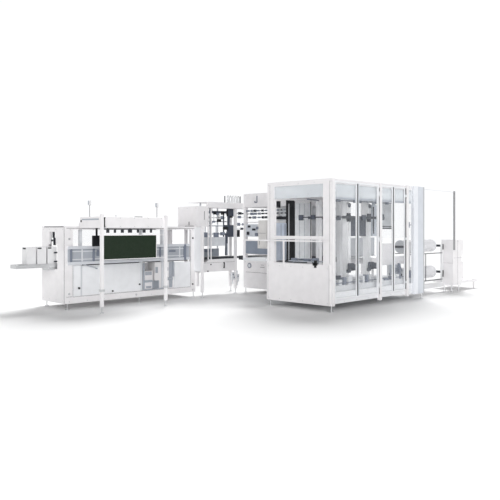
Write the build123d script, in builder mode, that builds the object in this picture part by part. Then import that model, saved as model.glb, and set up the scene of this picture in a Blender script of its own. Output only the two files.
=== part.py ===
from build123d import *
import os

# Stretch wrapping machine line. Millimetres, +Z up, +X along the flow of the packs.
# The origin is on the floor, under the middle of the line's overall box.

# Levels and thicknesses shared by every station
frame_under = 130
belt_level = 970
transfer_level = 980
pane_thickness = 8
sheet_thickness = 12

# Levelling feet
foot_radius = 45
foot_thickness = 12
spindle_radius = 11

# Collator, the low station on the left
collator_left = -5040
collator_length = 3570
collator_front = 1600
collator_depth = 1020
collator_height = 1760
collator_beam = 60
collator_plinth = 140
collator_stile = 160
end_wall_thickness = 40
slot_near = 1900
slot_far = 2340
slot_low = 850
slot_step = 1380
slot_high = 1650
slot_narrow = 290

# Infeed conveyor and its cartons
infeed_left = -5900
infeed_middle = 2110
infeed_width = 300
infeed_depth = 80
infeed_inside = 400
carton_side = 196
carton_depth = 230
carton_height = 360
carton_pitch = 230
carton_first = 330
carton_count = 3

# Side conveyor along the collator's front
guide_start = 80
guide_end = 230
guide_low = 950
guide_high = 1345
guide_proud = 60
guide_rail = 60
guide_recess = 25
guide_bevel = 15
bed_thickness = 50

# Columns, housings and panels inside the collator's front
column_width = 60
column_starts = (390, 1950, 2560)
housing_depth = 300
low_housing_high = 720
side_panel_length = 490
side_panel_high = 900
wing_near = 1270
wing_low = 650

# Hood over the collator's front, with its posts and its dark pane
hood_start = 303
hood_length = 1661
hood_front = 687
hood_back = 1485
hood_low = 1730
hood_high = 1965
hood_wall = 30
hood_bracket = 60
hood_bracket_depth = 120
hood_post = 60
hood_post_high = 2010
pane_length = 1306
pane_low = 1090
pane_high = 1575
pane_frame = 14
screen_start = 217
screen_length = 200
screen_near = 1330
screen_depth = 40
screen_low = 1340
screen_high = 1570
screen_arm = 40
mast_places = (615, 2405)
mast_setback = 35
mast_rod_radius = 8
mast_rod_high = 460
mast_lamp = 50
mast_lamp_high = 100

# Transfer unit, in line with the collator
transfer_length = 1620
transfer_front = 1520
transfer_depth = 530
transfer_high = 2400
transfer_beam = 60
transfer_fascia = 150
transfer_body_low = 610
transfer_post_back = 310
transfer_leg = 50
upright_width = 24
upright_starts = (370, 470)
end_cabinet_length = 340
end_cabinet_depth = 800
end_cabinet_high = 2290
tray_depth = 70
tray_setback = 400
transfer_belt_width = 380
belt_guide_thickness = 15
belt_guide_high = 210

# Gantry over the transfer belt, with its guide plate, and the cylinders on the roof
gantry_setback = 180
gantry_start = 600
gantry_rail = 60
gantry_rail_low = 2130
gantry_hanger = 50
guide_plate = (280, 1120)
guide_plate_low = 1270
guide_plate_high = 1500
guide_plate_thickness = 12
gantry_arm = (1770, 1820)
gantry_drive = (1500, 1660)
gantry_rod = 25
cylinder_radius = 28
cylinder_high = 180
cylinder_pitch = 95
cylinder_inset = 30
cylinder_count = 5

# Transfer head, which runs from the transfer unit to the tower's back
head_length = 1400
head_low_cover = 2290
head_high = 2660
head_post = 80
head_body_high = 870
head_panel_inset = 10
head_panel_thickness = 15
head_panel_gap = (1400, 1510)
head_panel_high = 1840
head_box = (610, 900)
head_box_low = 1250
head_box_high = 1940
head_box_depth = 70
side_table_length = 740
side_table_thickness = 60
guard_rail_high = 1470
guard_rail_size = 30

# Wrapping tower
tower_left = -1350
tower_length = 3730
tower_front = -2620
tower_depth = 1830
tower_height = 2750
tower_post = 80
tower_corner = 250
tower_rear_stile = 200
tower_base = 160
tower_base_high = 400
tower_top_beam = 100
tower_header_low = 2380
tower_sill = 970
tower_rail_low = 1485
tower_rail_high = 1560
far_column = 500
lower_panel_thickness = 20

# Doors on the tower's front, as distances from the tower's left face
door_low = 250
door_high = 2705
door_thickness = 40
door_stile = 36
door_gap = 10
door_setback = 20
leaf_clearance = 6
hinge_gap = 12
hinge_reach = 10
hinge_proud = 10
hinge_radius = 7
hinge_pin = 3
hinge_fit = 0.3
hinge_length = 60
hinge_levels = (450, 1480, 2500)
door_post_one = 1780
door_post_two = 2946
meeting_one = 925
meeting_two = 2360

# Inside the tower: bed, columns, outlet conveyor, and what hangs from the cross beams
tower_bed_high = 520
tower_bed_low = 280
tower_bed_inset = 200
lift_column = 100
lift_places = (1074, 1865)
lift_near = 440
lift_far = 1200
cross_beam = 80
outlet_start = 2250
outlet_level = 1030
outlet_rail_depth = 200
outlet_rail = 40
outlet_leg_inset = 60
outlet_leg_end = 360
roller_radius = 30
roller_pitch = 120
outlet_near = 560
outlet_far = 1380
side_guide = (2740, 3150)
side_guide_high = 330
header_rail = 50
hanger_beam = 60
wrap_drive = (2530, 2930)
wrap_drive_near = 720
wrap_drive_depth = 200
wrap_drive_low = 1540
wrap_drive_high = 2300
slat_panel = (3110, 3520)
slat_panel_near = 810
slat_panel_low = 1710

# Lift drives in front of the near columns: wheels, a belt round them, and a finned gear motor
wheel_levels = (870, 2240)
wheel_radius = 45
wheel_width = 40
wheel_flange = 52
wheel_flange_thickness = 5
wheel_gap = 10
belt_fit = 0.3
lift_belt_thickness = 5
lift_shaft_radius = 14
carriage_level = 1940
carriage_high = 60
carriage_depth = 50
carriage_start = 850
carriage_end = 2450
shoe_width = 60
shoe_low = 1880
shoe_high = 2060
clamp_width = 12
clamp_high = 120
gear_size = 170
gear_depth = 60
motor_radius = 62
motor_length = 105
motor_fin = 9
motor_fin_thickness = 5
motor_fins = 12
cowl_radius = 72
cowl_length = 30
bed_motors = ((250, 450, 760), (650, 790, 700))
bed_motor_near = 370
bed_motor_depth = 60
film_head = (619, 1550, 1960)

# On the tower's rear pane: strip curtain, panels and a clamp bar
curtain_start = 585
curtain_strip = 90
curtain_pitch = 96
curtain_count = 3
rear_plate_thickness = 15
rear_plates = ((100, 580, 1000, 1850), (905, 1490, 1000, 2330), (150, 580, 1930, 2000), (250, 380, 2200, 2350))

# Film and discharge unit
film_front = -2180
film_length = 1870
film_depth = 640
film_beam = 60
film_post_high = 1300
film_roll_radius = 165
film_core_radius = 40
film_roll_levels = (535, 1255)
film_rail_levels = (330, 1050)
film_rail = 18
film_arm = 30
film_base_high = 250
film_post_inset = 20
film_cabinet_length = 540
film_cabinet_front = -2450
film_cabinet_back = -2110
film_cabinet_low = 170
film_cabinet_high = 1420
film_cabinet_radius = 60
guard_post_width = 40
guard_post_inset = 10
guard_post_low = 1140
guard_post_high = 2745
guard_pane_inset = 25
discharge_length = 1110
discharge_near = -2380
discharge_far = -1580
discharge_high = 250
discharge_depth = 60
discharge_leg = 40
discharge_leg_inset = 120

# Places worked out from the sizes above
collator_right = collator_left + collator_length
collator_back = collator_front + collator_depth
wall_inside = collator_left + end_wall_thickness
front_band = (collator_front, collator_front + collator_beam)
rear_band = (collator_back - collator_beam, collator_back)
left_stile = (wall_inside, wall_inside + collator_stile)
right_stile = (collator_right - collator_stile, collator_right)
between_stiles = (left_stile[1], right_stile[0])
floor_pan = frame_under + collator_plinth
column_near = front_band[1]
bed_near = column_near + column_width
bed_under = belt_level - bed_thickness
collator_roof = collator_height + sheet_thickness
infeed_near = infeed_middle - infeed_width / 2
infeed_far = infeed_middle + infeed_width / 2
infeed_right = collator_left + infeed_inside
hood_left = collator_left + hood_start
hood_right = hood_left + hood_length
transfer_left = collator_right
transfer_right = transfer_left + transfer_length
transfer_back = transfer_front + transfer_depth
head_left = transfer_right
head_right = head_left + head_length
tower_right = tower_left + tower_length
tower_back = tower_front + tower_depth
door_front = tower_front + door_setback
door_back = door_front + door_thickness
tower_inner_front = door_back + leaf_clearance
front_beam = (tower_inner_front, tower_inner_front + tower_post)
rear_beam = (tower_back - tower_post, tower_back)
left_beam = (tower_left, tower_left + tower_post)
right_beam = (tower_right - tower_post, tower_right)
window = (tower_front + tower_corner, tower_back - tower_rear_stile)
far_column_left = tower_right - far_column
door_posts = (tower_left + door_post_one, tower_left + door_post_two)
film_right = tower_right + film_length
film_back = film_front + film_depth
cabinet_right = film_right + film_cabinet_length
discharge_right = cabinet_right + discharge_length
guard_post_left = film_right + guard_post_inset
guard_post_right = guard_post_left + guard_post_width
column_lefts = [collator_left + start for start in column_starts]

os.makedirs("parts", exist_ok=True)
upright = (Align.CENTER, Align.CENTER, Align.MIN)


def bar(x, y, z):
    """A straight block between two values of x, of y and of z."""
    with Locations((x[0], y[0], z[0])):
        Box(x[1] - x[0], y[1] - y[0], z[1] - z[0], align=(Align.MIN, Align.MIN, Align.MIN))


def finish(piece, name):
    """Labels a finished piece and writes it."""
    piece.part.label = name
    export_step(piece.part, f"parts/{name}.step")


# Infeed conveyor: a shallow bed with rounded edges, on two brackets at the end wall
with BuildPart() as infeed:
    with BuildSketch(Plane.YZ.offset(infeed_left)) as section:
        with Locations((infeed_middle, belt_level - infeed_depth / 2)):
            RectangleRounded(infeed_width, infeed_depth, 8)
    extrude(amount=infeed_right - infeed_left)
    for x in (collator_left - 170, collator_left - 40):
        bar((x, x + 40), (infeed_near + 40, infeed_far - 40), (slot_low - 20, belt_level - infeed_depth))
    bar((collator_left, collator_left + 40), (infeed_near + 40, infeed_far - 40),
        (slot_low, belt_level - infeed_depth))
finish(infeed, "infeed_conveyor")

# Cartons standing on the infeed belt
with BuildPart() as cartons:
    for index in range(carton_count):
        start = infeed_left + carton_first + index * carton_pitch - carton_side / 2
        bar((start, start + carton_side),
            (infeed_middle - carton_depth / 2, infeed_middle + carton_depth / 2),
            (belt_level, belt_level + carton_height))
finish(cartons, "infeed_cartons")

# End wall of the collator, with the stepped slot that the cartons pass through
slot_middle = (slot_near + slot_far) / 2
with BuildPart() as end_wall:
    with BuildSketch(Plane.YZ.offset(collator_left)) as outline:
        with Locations(((collator_front + collator_back) / 2, (frame_under + collator_height) / 2)):
            Rectangle(collator_depth, collator_height - frame_under)
        with Locations((slot_middle, (slot_low + slot_step) / 2)):
            Rectangle(slot_far - slot_near, slot_step - slot_low, mode=Mode.SUBTRACT)
        with Locations((slot_middle, (slot_step + slot_high) / 2)):
            Rectangle(slot_narrow, slot_high - slot_step, mode=Mode.SUBTRACT)
    extrude(amount=end_wall_thickness)
finish(end_wall, "collator_end_wall")

# Stiles at the collator's corners, and the post of the wing in front of its right end
with BuildPart() as stiles:
    for x in (left_stile, right_stile):
        for y in (front_band, rear_band):
            bar(x, y, (frame_under, collator_height))
    bar((collator_right - collator_beam, collator_right), (wing_near, wing_near + collator_beam),
        (frame_under, collator_height))
finish(stiles, "collator_stiles")

# Plinth and top beams between the stiles, with the end cross beams and the floor pan between the plinth beams
with BuildPart() as beams:
    bar((wall_inside + collator_beam, collator_right - collator_beam), (front_band[1], rear_band[0]),
        (floor_pan - sheet_thickness, floor_pan))
    for z in ((frame_under, floor_pan), (collator_height - collator_beam, collator_height)):
        for y in (front_band, rear_band):
            bar(between_stiles, y, z)
        bar((wall_inside, wall_inside + collator_beam), (front_band[1], rear_band[0]), z)
        bar((collator_right - collator_beam, collator_right), (front_band[1], rear_band[0]), z)
finish(beams, "collator_beams")

# Roof sheet of the collator
with BuildPart() as roof:
    bar((collator_left, collator_right), (collator_front, collator_back), (collator_height, collator_roof))
finish(roof, "collator_roof")

# Closed panels: the rear wall's lower half, both ends of the front and the wing
with BuildPart() as panels:
    bar(between_stiles, (collator_back - 50, collator_back - 20), (floor_pan, slot_low))
    bar((between_stiles[1] - side_panel_length, between_stiles[1]), (front_band[0] + 15, front_band[1] - 5),
        (floor_pan, side_panel_high))
    bar((left_stile[1], column_lefts[0]), (front_band[0] + 15, front_band[1] - 5), (floor_pan, guide_high))
    bar((collator_right - 40, collator_right - 10), (wing_near + collator_beam, collator_front),
        (wing_low, collator_height))
finish(panels, "collator_panels")

# Columns inside the collator, between the guide in front of them and the bed behind
with BuildPart() as columns:
    for x in column_lefts:
        bar((x, x + column_width), (column_near, bed_near), (floor_pan, collator_height))
finish(columns, "collator_columns")

# Side conveyor: a folded guide plate in front, and the belt bed behind
guide_near = collator_front - guide_proud
with BuildPart() as guide:
    with BuildSketch(Plane.YZ.offset(collator_left + guide_start)) as section:
        with BuildLine():
            Polyline(
                (guide_near, guide_low),
                (collator_front, guide_low),
                (collator_front, guide_high),
                (guide_near, guide_high),
                (guide_near, guide_high - guide_rail),
                (guide_near + guide_recess, guide_high - guide_rail - guide_bevel),
                (guide_near + guide_recess, guide_low + guide_rail + guide_bevel),
                (guide_near, guide_low + guide_rail),
                close=True,
            )
        make_face()
    extrude(amount=collator_length - guide_start - guide_end)
finish(guide, "side_conveyor_guide")
with BuildPart() as bed:
    bar((infeed_right + 5, right_stile[0]), (bed_near, infeed_far), (bed_under, belt_level))
finish(bed, "side_conveyor_bed")

# Lower cabinet and drive housings, which stand on the floor pan between the columns
housing = (column_near, column_near + housing_depth)
with BuildPart() as cabinet:
    bar((column_lefts[0] + column_width, column_lefts[1]), housing, (floor_pan, bed_under))
finish(cabinet, "collator_cabinet")
with BuildPart() as drives:
    bar((column_lefts[1] + column_width + 40, column_lefts[1] + column_width + 290), housing,
        (floor_pan, low_housing_high))
    bar((column_lefts[2] - 200, column_lefts[2] - 10), housing, (floor_pan, bed_under))
    bar((column_lefts[2] + column_width + 10, column_lefts[2] + column_width + 300), housing,
        (floor_pan, bed_under))
finish(drives, "collator_drives")

# Hood: a shallow tray turned upside down, on three brackets that stand on the collator's roof
with BuildPart() as hood:
    bar((hood_left, hood_right), (hood_front, hood_back), (hood_low, hood_high))
    fillet(hood.edges().filter_by(Axis.X).group_by(Axis.Z)[-1], 20)
    offset(amount=-hood_wall, openings=hood.faces().sort_by(Axis.Z)[0])
    for x in (hood_left + 100, (hood_left + hood_right) / 2, hood_right - 100):
        bar((x - hood_bracket / 2, x + hood_bracket / 2), (hood_back, front_band[1]),
            (collator_roof, hood_low + hood_bracket_depth))
finish(hood, "hood")

# Hood posts, joined by the slim rails and the mullion that hold the guard pane
post_lefts = (hood_left, hood_right - hood_post)
pane_right = post_lefts[0] + hood_post + pane_length
slim_band = (hood_front - 45, hood_front - 25)
with BuildPart() as hood_posts:
    for x in post_lefts:
        bar((x, x + hood_post), (hood_front - hood_post, hood_front), (frame_under, hood_post_high))
    for z in (pane_low - pane_frame, pane_high):
        bar((post_lefts[0] + hood_post, post_lefts[1]), slim_band, (z, z + pane_frame))
    bar((pane_right, pane_right + pane_frame), slim_band, (pane_low, pane_high))
finish(hood_posts, "hood_posts")
with BuildPart() as guard_pane:
    bar((post_lefts[0] + hood_post, pane_right), (slim_band[0] + 6, slim_band[0] + 6 + pane_thickness),
        (pane_low, pane_high))
finish(guard_pane, "hood_guard_pane")

# Operator screen on an arm under the hood
screen_left = hood_left + screen_start
screen_middle = screen_left + screen_length / 2
with BuildPart() as screen:
    bar((screen_left, screen_left + screen_length), (screen_near, screen_near + screen_depth),
        (screen_low, screen_high))
    bar((screen_middle - screen_arm / 2, screen_middle + screen_arm / 2),
        (screen_near + screen_depth / 4, screen_near + screen_depth * 3 / 4),
        (screen_high, hood_high - hood_wall))
finish(screen, "operator_screen")

# Signal masts on the collator's roof: a slim rod with a square lamp
with BuildPart() as masts:
    for place in mast_places:
        with Locations((collator_left + place, collator_front + mast_setback, collator_roof)):
            Cylinder(mast_rod_radius, mast_rod_high, align=upright)
        with Locations((collator_left + place, collator_front + mast_setback, collator_roof + mast_rod_high)):
            Box(mast_lamp, mast_lamp, mast_lamp_high, align=upright)
finish(masts, "signal_masts")

# Transfer unit: posts, with two slim uprights and the posts of the head
post_inside = transfer_high - transfer_fascia
middle_post = (transfer_right - transfer_post_back, transfer_right - transfer_post_back + transfer_beam)
rear_post = (transfer_back - transfer_beam, transfer_back)
leg = (transfer_left + 10, transfer_left + 10 + transfer_leg)
with BuildPart() as transfer_posts:
    bar((transfer_left, transfer_left + transfer_beam), rear_post, (frame_under, collator_roof))
    bar((transfer_right - transfer_beam, transfer_right), rear_post, (frame_under, transfer_high))
    bar(middle_post, (transfer_front, transfer_front + transfer_beam), (frame_under, post_inside))
    for start in upright_starts:
        bar((transfer_left + start, transfer_left + start + upright_width),
            (transfer_front + 20, transfer_front + 20 + upright_width), (transfer_level - bed_thickness, post_inside))
    bar(leg, (transfer_front + 10, transfer_front + 10 + transfer_leg), (floor_pan, collator_roof))
    for x in (head_left, head_right - head_post):
        for y in (tower_back, transfer_front - head_post):
            bar((x, x + head_post), (y, y + head_post), (frame_under, head_low_cover))
finish(transfer_posts, "transfer_posts")

# Fascia and roof of the transfer unit, and the closed cabinet at its left end
cabinet_end = transfer_left + end_cabinet_length
with BuildPart() as transfer_roof:
    bar((cabinet_end, transfer_right), (transfer_front, transfer_front + transfer_beam),
        (post_inside, transfer_high))
    bar((cabinet_end, transfer_right), (transfer_front, transfer_front + end_cabinet_depth),
        (transfer_high, transfer_high + sheet_thickness))
finish(transfer_roof, "transfer_roof")
with BuildPart() as end_cabinet:
    bar((transfer_left, cabinet_end), (transfer_front, transfer_front + end_cabinet_depth),
        (collator_roof, end_cabinet_high))
finish(end_cabinet, "transfer_end_cabinet")

# Belts of the transfer unit and of its head
tray_high = transfer_level - bed_thickness
belt_near = transfer_front + transfer_beam
with BuildPart() as transfer_belts:
    bar((leg[1] + 10, head_left - 70), (belt_near, belt_near + transfer_belt_width), (tray_high, transfer_level))
    bar((head_left + head_post + 20, head_right - head_post - 20), (tower_back + 10, transfer_front + 300),
        (head_body_high, transfer_level))
finish(transfer_belts, "transfer_belts")

# Raised body of the transfer unit, with the tray's slanted end at its top left and the guide behind its belt
body_near = transfer_front + 10
body_far = rear_post[0] - 10
with BuildPart() as body:
    with BuildSketch(Plane.XZ.offset(-body_near)) as outline:
        with BuildLine():
            Polyline(
                (transfer_left + tray_setback, tray_high),
                (middle_post[0], tray_high),
                (middle_post[0], transfer_body_low),
                (leg[1] + 10, transfer_body_low),
                (leg[1] + 10, tray_high - tray_depth),
                (transfer_left + tray_setback - 100, tray_high - tray_depth),
                close=True,
            )
        make_face()
    extrude(amount=-(body_far - body_near))
    bar((transfer_left + tray_setback + 10, middle_post[0] - 190), (body_far - belt_guide_thickness, body_far),
        (tray_high, transfer_level + belt_guide_high))
finish(body, "transfer_body")

# Gantry over the transfer belt, hung from the roof, and the cylinders on the roof
gantry_band = (transfer_front + gantry_setback, transfer_front + gantry_setback + gantry_rail)
gantry_rail_high = gantry_rail_low + gantry_rail
rod_band = (gantry_band[0] + guide_plate_thickness, gantry_band[0] + guide_plate_thickness + gantry_rod)
carrier = (middle_post[0] - 150, middle_post[0] + 60)
with BuildPart() as gantry:
    bar((transfer_left + gantry_start, middle_post[0] - 45), gantry_band, (gantry_rail_low, gantry_rail_high))
    for x in (transfer_left + gantry_start, middle_post[0] - 45 - gantry_hanger):
        bar((x, x + gantry_hanger), gantry_band, (gantry_rail_high, transfer_high))
    bar(carrier, (gantry_band[0] - gantry_hanger, gantry_band[0]), (gantry_rail_low - 80, gantry_rail_high + 75))
    bar((carrier[0] + 20, carrier[0] + 20 + gantry_hanger), (gantry_band[0] - gantry_hanger, gantry_band[0]),
        (gantry_arm[1], gantry_rail_low - 80))
    bar((carrier[0] - 115, carrier[1]), (gantry_band[0] - gantry_hanger, gantry_band[0]), gantry_arm)
    bar((carrier[0], carrier[1]), (gantry_band[0] - gantry_hanger, gantry_band[0]),
        (gantry_drive[0], gantry_arm[0]))
    bar((carrier[0] - 60, carrier[0]), (gantry_band[0] - gantry_hanger, gantry_band[0]),
        (transfer_level + 30, gantry_drive[0] + 100))
    for x in (transfer_left + gantry_start + 10, carrier[0] - 100):
        bar((x, x + gantry_rod), rod_band, (guide_plate_low, gantry_rail_low))
    bar((transfer_left + guide_plate[0], transfer_left + guide_plate[1]),
        (gantry_band[0], gantry_band[0] + guide_plate_thickness), (guide_plate_low, guide_plate_high))
finish(gantry, "transfer_gantry")
with BuildPart() as cylinders:
    for index in range(cylinder_count):
        with Locations((transfer_right - cylinder_inset - index * cylinder_pitch, gantry_band[0],
                        transfer_high + sheet_thickness)):
            Cylinder(cylinder_radius, cylinder_high, align=upright)
finish(cylinders, "transfer_cylinders")

# Transfer head: its cover and its closed lower body
with BuildPart() as head_cover:
    bar((head_left, head_right), (tower_back, transfer_front), (head_low_cover, head_high))
finish(head_cover, "head_cover")
with BuildPart() as head_body:
    bar((head_left + 5, head_right - 5), (tower_back + head_post, transfer_front - head_post),
        (frame_under, head_body_high))
finish(head_body, "head_body")

# Sheets between the head's posts: two on its left side, with a box on them, and one that closes its right side
head_span = (tower_back + head_post, transfer_front - head_post)
left_sheet = (head_left + head_panel_inset, head_left + head_panel_inset + head_panel_thickness)
with BuildPart() as head_panels:
    bar(left_sheet, head_span, (transfer_level + side_table_thickness, head_panel_gap[0]))
    bar(left_sheet, head_span, (head_panel_gap[1], head_panel_high))
    bar((left_sheet[0] - head_box_depth, left_sheet[0]), head_box, (head_box_low, head_box_high))
    bar((head_right - head_post / 2, head_right - head_post / 2 + head_panel_thickness), head_span,
        (head_body_high, head_low_cover))
finish(head_panels, "head_panels")

# Side table between the head and the tower's back, and the guard rail that stands on it
rail_band = (tower_left - lower_panel_thickness - guard_rail_size, tower_left - lower_panel_thickness)
table_end = tower_back + side_table_length
table_top = transfer_level + side_table_thickness
with BuildPart() as side_table:
    bar((rail_band[0], head_left), (tower_back, table_end), (transfer_level, table_top))
finish(side_table, "side_table")
with BuildPart() as guard_rail:
    bar(rail_band, (tower_front + 90, table_end), (guard_rail_high - guard_rail_size, guard_rail_high))
    bar(rail_band, (table_end - guard_rail_size, table_end), (table_top, guard_rail_high - guard_rail_size))
    bar(rail_band, (window[1] - 340, window[1] - 340 + guard_rail_size),
        (tower_sill - 60, guard_rail_high - guard_rail_size))
finish(guard_rail, "guard_rail")

# Door hinges, on the posts' front edges
hinge_line = door_front - hinge_proud


def fixed_hinge(face, side):
    """Two ears with a pin between them, on a post's face that looks along side."""
    x = face + side * hinge_reach
    for level in hinge_levels:
        for z in (level - hinge_length, level + hinge_length / 2):
            bar(sorted((face, x + side * hinge_radius)), (hinge_line - hinge_radius, hinge_line + hinge_radius),
                (z, z + hinge_length / 2))
        with Locations((x, hinge_line, level - hinge_length / 2)):
            Cylinder(hinge_pin, hinge_length, align=upright)


def leaf_hinge(x, side):
    """The knuckles of a leaf that lies on the given side of its pivot."""
    for level in hinge_levels:
        low = level - hinge_length / 2 + 1
        high = level + hinge_length / 2 - 1
        with Locations((x, hinge_line, low)):
            Cylinder(hinge_radius, high - low, align=upright)
        bar(sorted((x, x + side * 34)), (hinge_line + hinge_pin, door_front), (low, high))
        with Locations((x, hinge_line, low)):
            Cylinder(hinge_pin + hinge_fit, high - low, align=upright, mode=Mode.SUBTRACT)


# Tower posts: the corners, the wide far column and the two door posts, and the fixed halves of the hinges
with BuildPart() as tower_posts:
    bar(left_beam, (tower_front, window[0]), (frame_under, tower_height))
    bar(left_beam, (window[1], tower_back), (frame_under, tower_height))
    bar(right_beam, (tower_back - tower_post, tower_back), (frame_under, tower_height))
    bar((far_column_left, tower_right), (tower_front, tower_front + tower_post), (frame_under, tower_height))
    for x in door_posts:
        bar((x - tower_post / 2, x + tower_post / 2), (tower_front, tower_inner_front),
            (frame_under - 20, tower_height))
finish(tower_posts, "tower_posts")
with BuildPart() as hinges:
    fixed_hinge(left_beam[1], 1)
    fixed_hinge(door_posts[0] - tower_post / 2, -1)
    fixed_hinge(door_posts[0] + tower_post / 2, 1)
    fixed_hinge(door_posts[1] - tower_post / 2, -1)
finish(hinges, "door_hinges")


# Base and top beams of the tower
def tower_ring(z):
    """Four beams on one level of the tower, between its corner posts."""
    bar((left_beam[1], far_column_left), front_beam, z)
    bar((left_beam[1], right_beam[0]), rear_beam, z)
    bar(left_beam, window, z)
    bar(right_beam, (tower_front + tower_post, tower_back - tower_post), z)


with BuildPart() as tower_base_beams:
    tower_ring((tower_base, tower_base_high))
finish(tower_base_beams, "tower_base_beams")
lift_nears = (tower_front + lift_near, tower_front + lift_far)
between_lifts = (lift_nears[0] + lift_column, lift_nears[1])
drive_middle = tower_left + (wrap_drive[0] + wrap_drive[1]) / 2
slat_middle = tower_left + (slat_panel[0] + slat_panel[1]) / 2
with BuildPart() as tower_top_beams:
    tower_ring((tower_height - tower_top_beam, tower_height))
    for y in lift_nears:
        bar((left_beam[1], right_beam[0]), (y, y + lift_column), (tower_header_low, tower_header_low + cross_beam))
    for x in (drive_middle, slat_middle):
        bar((x - hanger_beam / 2, x + hanger_beam / 2), between_lifts,
            (tower_header_low, tower_header_low + cross_beam))
finish(tower_top_beams, "tower_top_beams")
with BuildPart() as tower_roof:
    bar((left_beam[1], right_beam[0]), (front_beam[1], rear_beam[0]),
        (tower_height - 30, tower_height - 30 + sheet_thickness))
finish(tower_roof, "tower_roof")

# Header panels behind the doors and behind the side window
header = (tower_header_low, tower_height - tower_top_beam)
with BuildPart() as headers:
    bar((left_beam[1], far_column_left), (front_beam[0] + 20, front_beam[0] + 30), header)
    bar((tower_left + 20, tower_left + 30), window, header)
finish(headers, "tower_headers")

# Lower panel, sill and mid rail of the tower's left face
with BuildPart() as lower_panel:
    bar((tower_left - lower_panel_thickness, tower_left), (tower_front + 60, tower_back), (frame_under, tower_sill))
finish(lower_panel, "tower_lower_panel")
with BuildPart() as window_rails:
    bar(left_beam, window, (tower_sill - 60, tower_sill))
    bar(left_beam, window, (tower_rail_low, tower_rail_high))
    bar((left_beam[1], far_column_left), (front_beam[0] + 20, front_beam[0] + header_rail),
        (tower_header_low - header_rail, tower_header_low))
finish(window_rails, "tower_window_rails")

# Clear panes: the collator's rear, the tower's rear, fixed bay and far side, and the film unit's guard
pane_back = tower_back - 40
pane_band = (tower_base_high, tower_height - tower_top_beam)
film_pane_front = film_cabinet_front - guard_post_width / 2
with BuildPart() as panes:
    bar(between_stiles, (collator_back - 40, collator_back - 40 + pane_thickness),
        (slot_low, collator_height - collator_beam))
    bar((left_beam[1], head_left), (pane_back, pane_back + pane_thickness), pane_band)
    bar((head_right, right_beam[0]), (pane_back, pane_back + pane_thickness), pane_band)
    bar((door_posts[1] + tower_post / 2, far_column_left), (door_front + 10, door_front + 10 + pane_thickness),
        (tower_base, tower_height))
    bar((tower_right - 40, tower_right - 40 + pane_thickness), (tower_front + tower_post, rear_beam[0]),
        (tower_rail_low, tower_height - tower_top_beam))
    bar((tower_right, guard_post_left), (film_pane_front, film_pane_front + pane_thickness),
        (film_cabinet_high, guard_post_high - guard_pane_inset))
finish(panes, "guard_panes")


# Doors: a frame with a pane in it, and the moving halves of its hinges
def door(number, face, side, free_x):
    """One leaf from a post's face, which looks along side, to its free edge."""
    hinge_x = face + side * hinge_gap
    low_x = min(hinge_x, free_x)
    high_x = max(hinge_x, free_x)
    middle = ((low_x + high_x) / 2, (door_low + door_high) / 2)
    inner_width = high_x - low_x - 2 * door_stile
    inner_height = door_high - door_low - 2 * door_stile
    with BuildPart() as leaf:
        with BuildSketch(Plane.XZ.offset(-door_back)) as outline:
            with Locations(middle):
                Rectangle(high_x - low_x, door_high - door_low)
                Rectangle(inner_width, inner_height, mode=Mode.SUBTRACT)
        extrude(amount=door_thickness)
        leaf_hinge(face + side * hinge_reach, side)
    finish(leaf, f"door_{number}")
    with BuildPart() as pane:
        with BuildSketch(Plane.XZ.offset(-door_back + (door_thickness - pane_thickness) / 2)) as outline:
            with Locations(middle):
                Rectangle(inner_width, inner_height)
        extrude(amount=pane_thickness)
    finish(pane, f"door_{number}_pane")


half_post = tower_post / 2
meetings = (tower_left + meeting_one, tower_left + meeting_two)
door(1, left_beam[1], 1, meetings[0] - door_gap / 2)
door(2, door_posts[0] - half_post, -1, meetings[0] + door_gap / 2)
door(3, door_posts[0] + half_post, 1, meetings[1] - door_gap / 2)
door(4, door_posts[1] - half_post, -1, meetings[1] + door_gap / 2)

# Inside the tower: machine bed, outlet conveyor, lift columns, carriage, curtain and panels
with BuildPart() as tower_bed:
    bar((tower_left + tower_bed_inset, tower_right - tower_bed_inset), (front_beam[1], rear_beam[0]),
        (tower_bed_low, tower_bed_high))
finish(tower_bed, "tower_bed")
outlet_nears = (tower_front + outlet_near, tower_front + outlet_far)
outlet_left = tower_left + outlet_start
outlet_low = outlet_level - outlet_rail_depth
with BuildPart() as outlet:
    for y in outlet_nears:
        bar((outlet_left, tower_right), (y, y + outlet_rail), (outlet_low, outlet_level))
        for x in (outlet_left + outlet_leg_inset, tower_right - outlet_leg_end):
            bar((x, x + outlet_rail), (y, y + outlet_rail), (tower_bed_high, outlet_low))
    bar((tower_left + side_guide[0], tower_left + side_guide[1]), (outlet_nears[0] + 10, outlet_nears[0] + 30),
        (outlet_level, outlet_level + side_guide_high))
finish(outlet, "tower_conveyor")

# Rollers between the rails of the outlet conveyor
roller_span = outlet_nears[1] - outlet_nears[0] - outlet_rail
roller_count = int((tower_right - outlet_left - roller_pitch) / roller_pitch)
with BuildPart() as rollers:
    with BuildSketch(Plane.XZ.offset(-outlet_nears[0] - outlet_rail)) as ends:
        for index in range(roller_count):
            with Locations((outlet_left + roller_pitch * (index + 1), outlet_level - roller_radius)):
                Circle(roller_radius)
    extrude(amount=-roller_span)
finish(rollers, "tower_rollers")
lift_lefts = [tower_left + place for place in lift_places]
with BuildPart() as lift_columns:
    for x in lift_lefts:
        for y in lift_nears:
            bar((x, x + lift_column), (y, y + lift_column), (tower_bed_high, tower_header_low))
finish(lift_columns, "tower_lift_columns")

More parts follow.
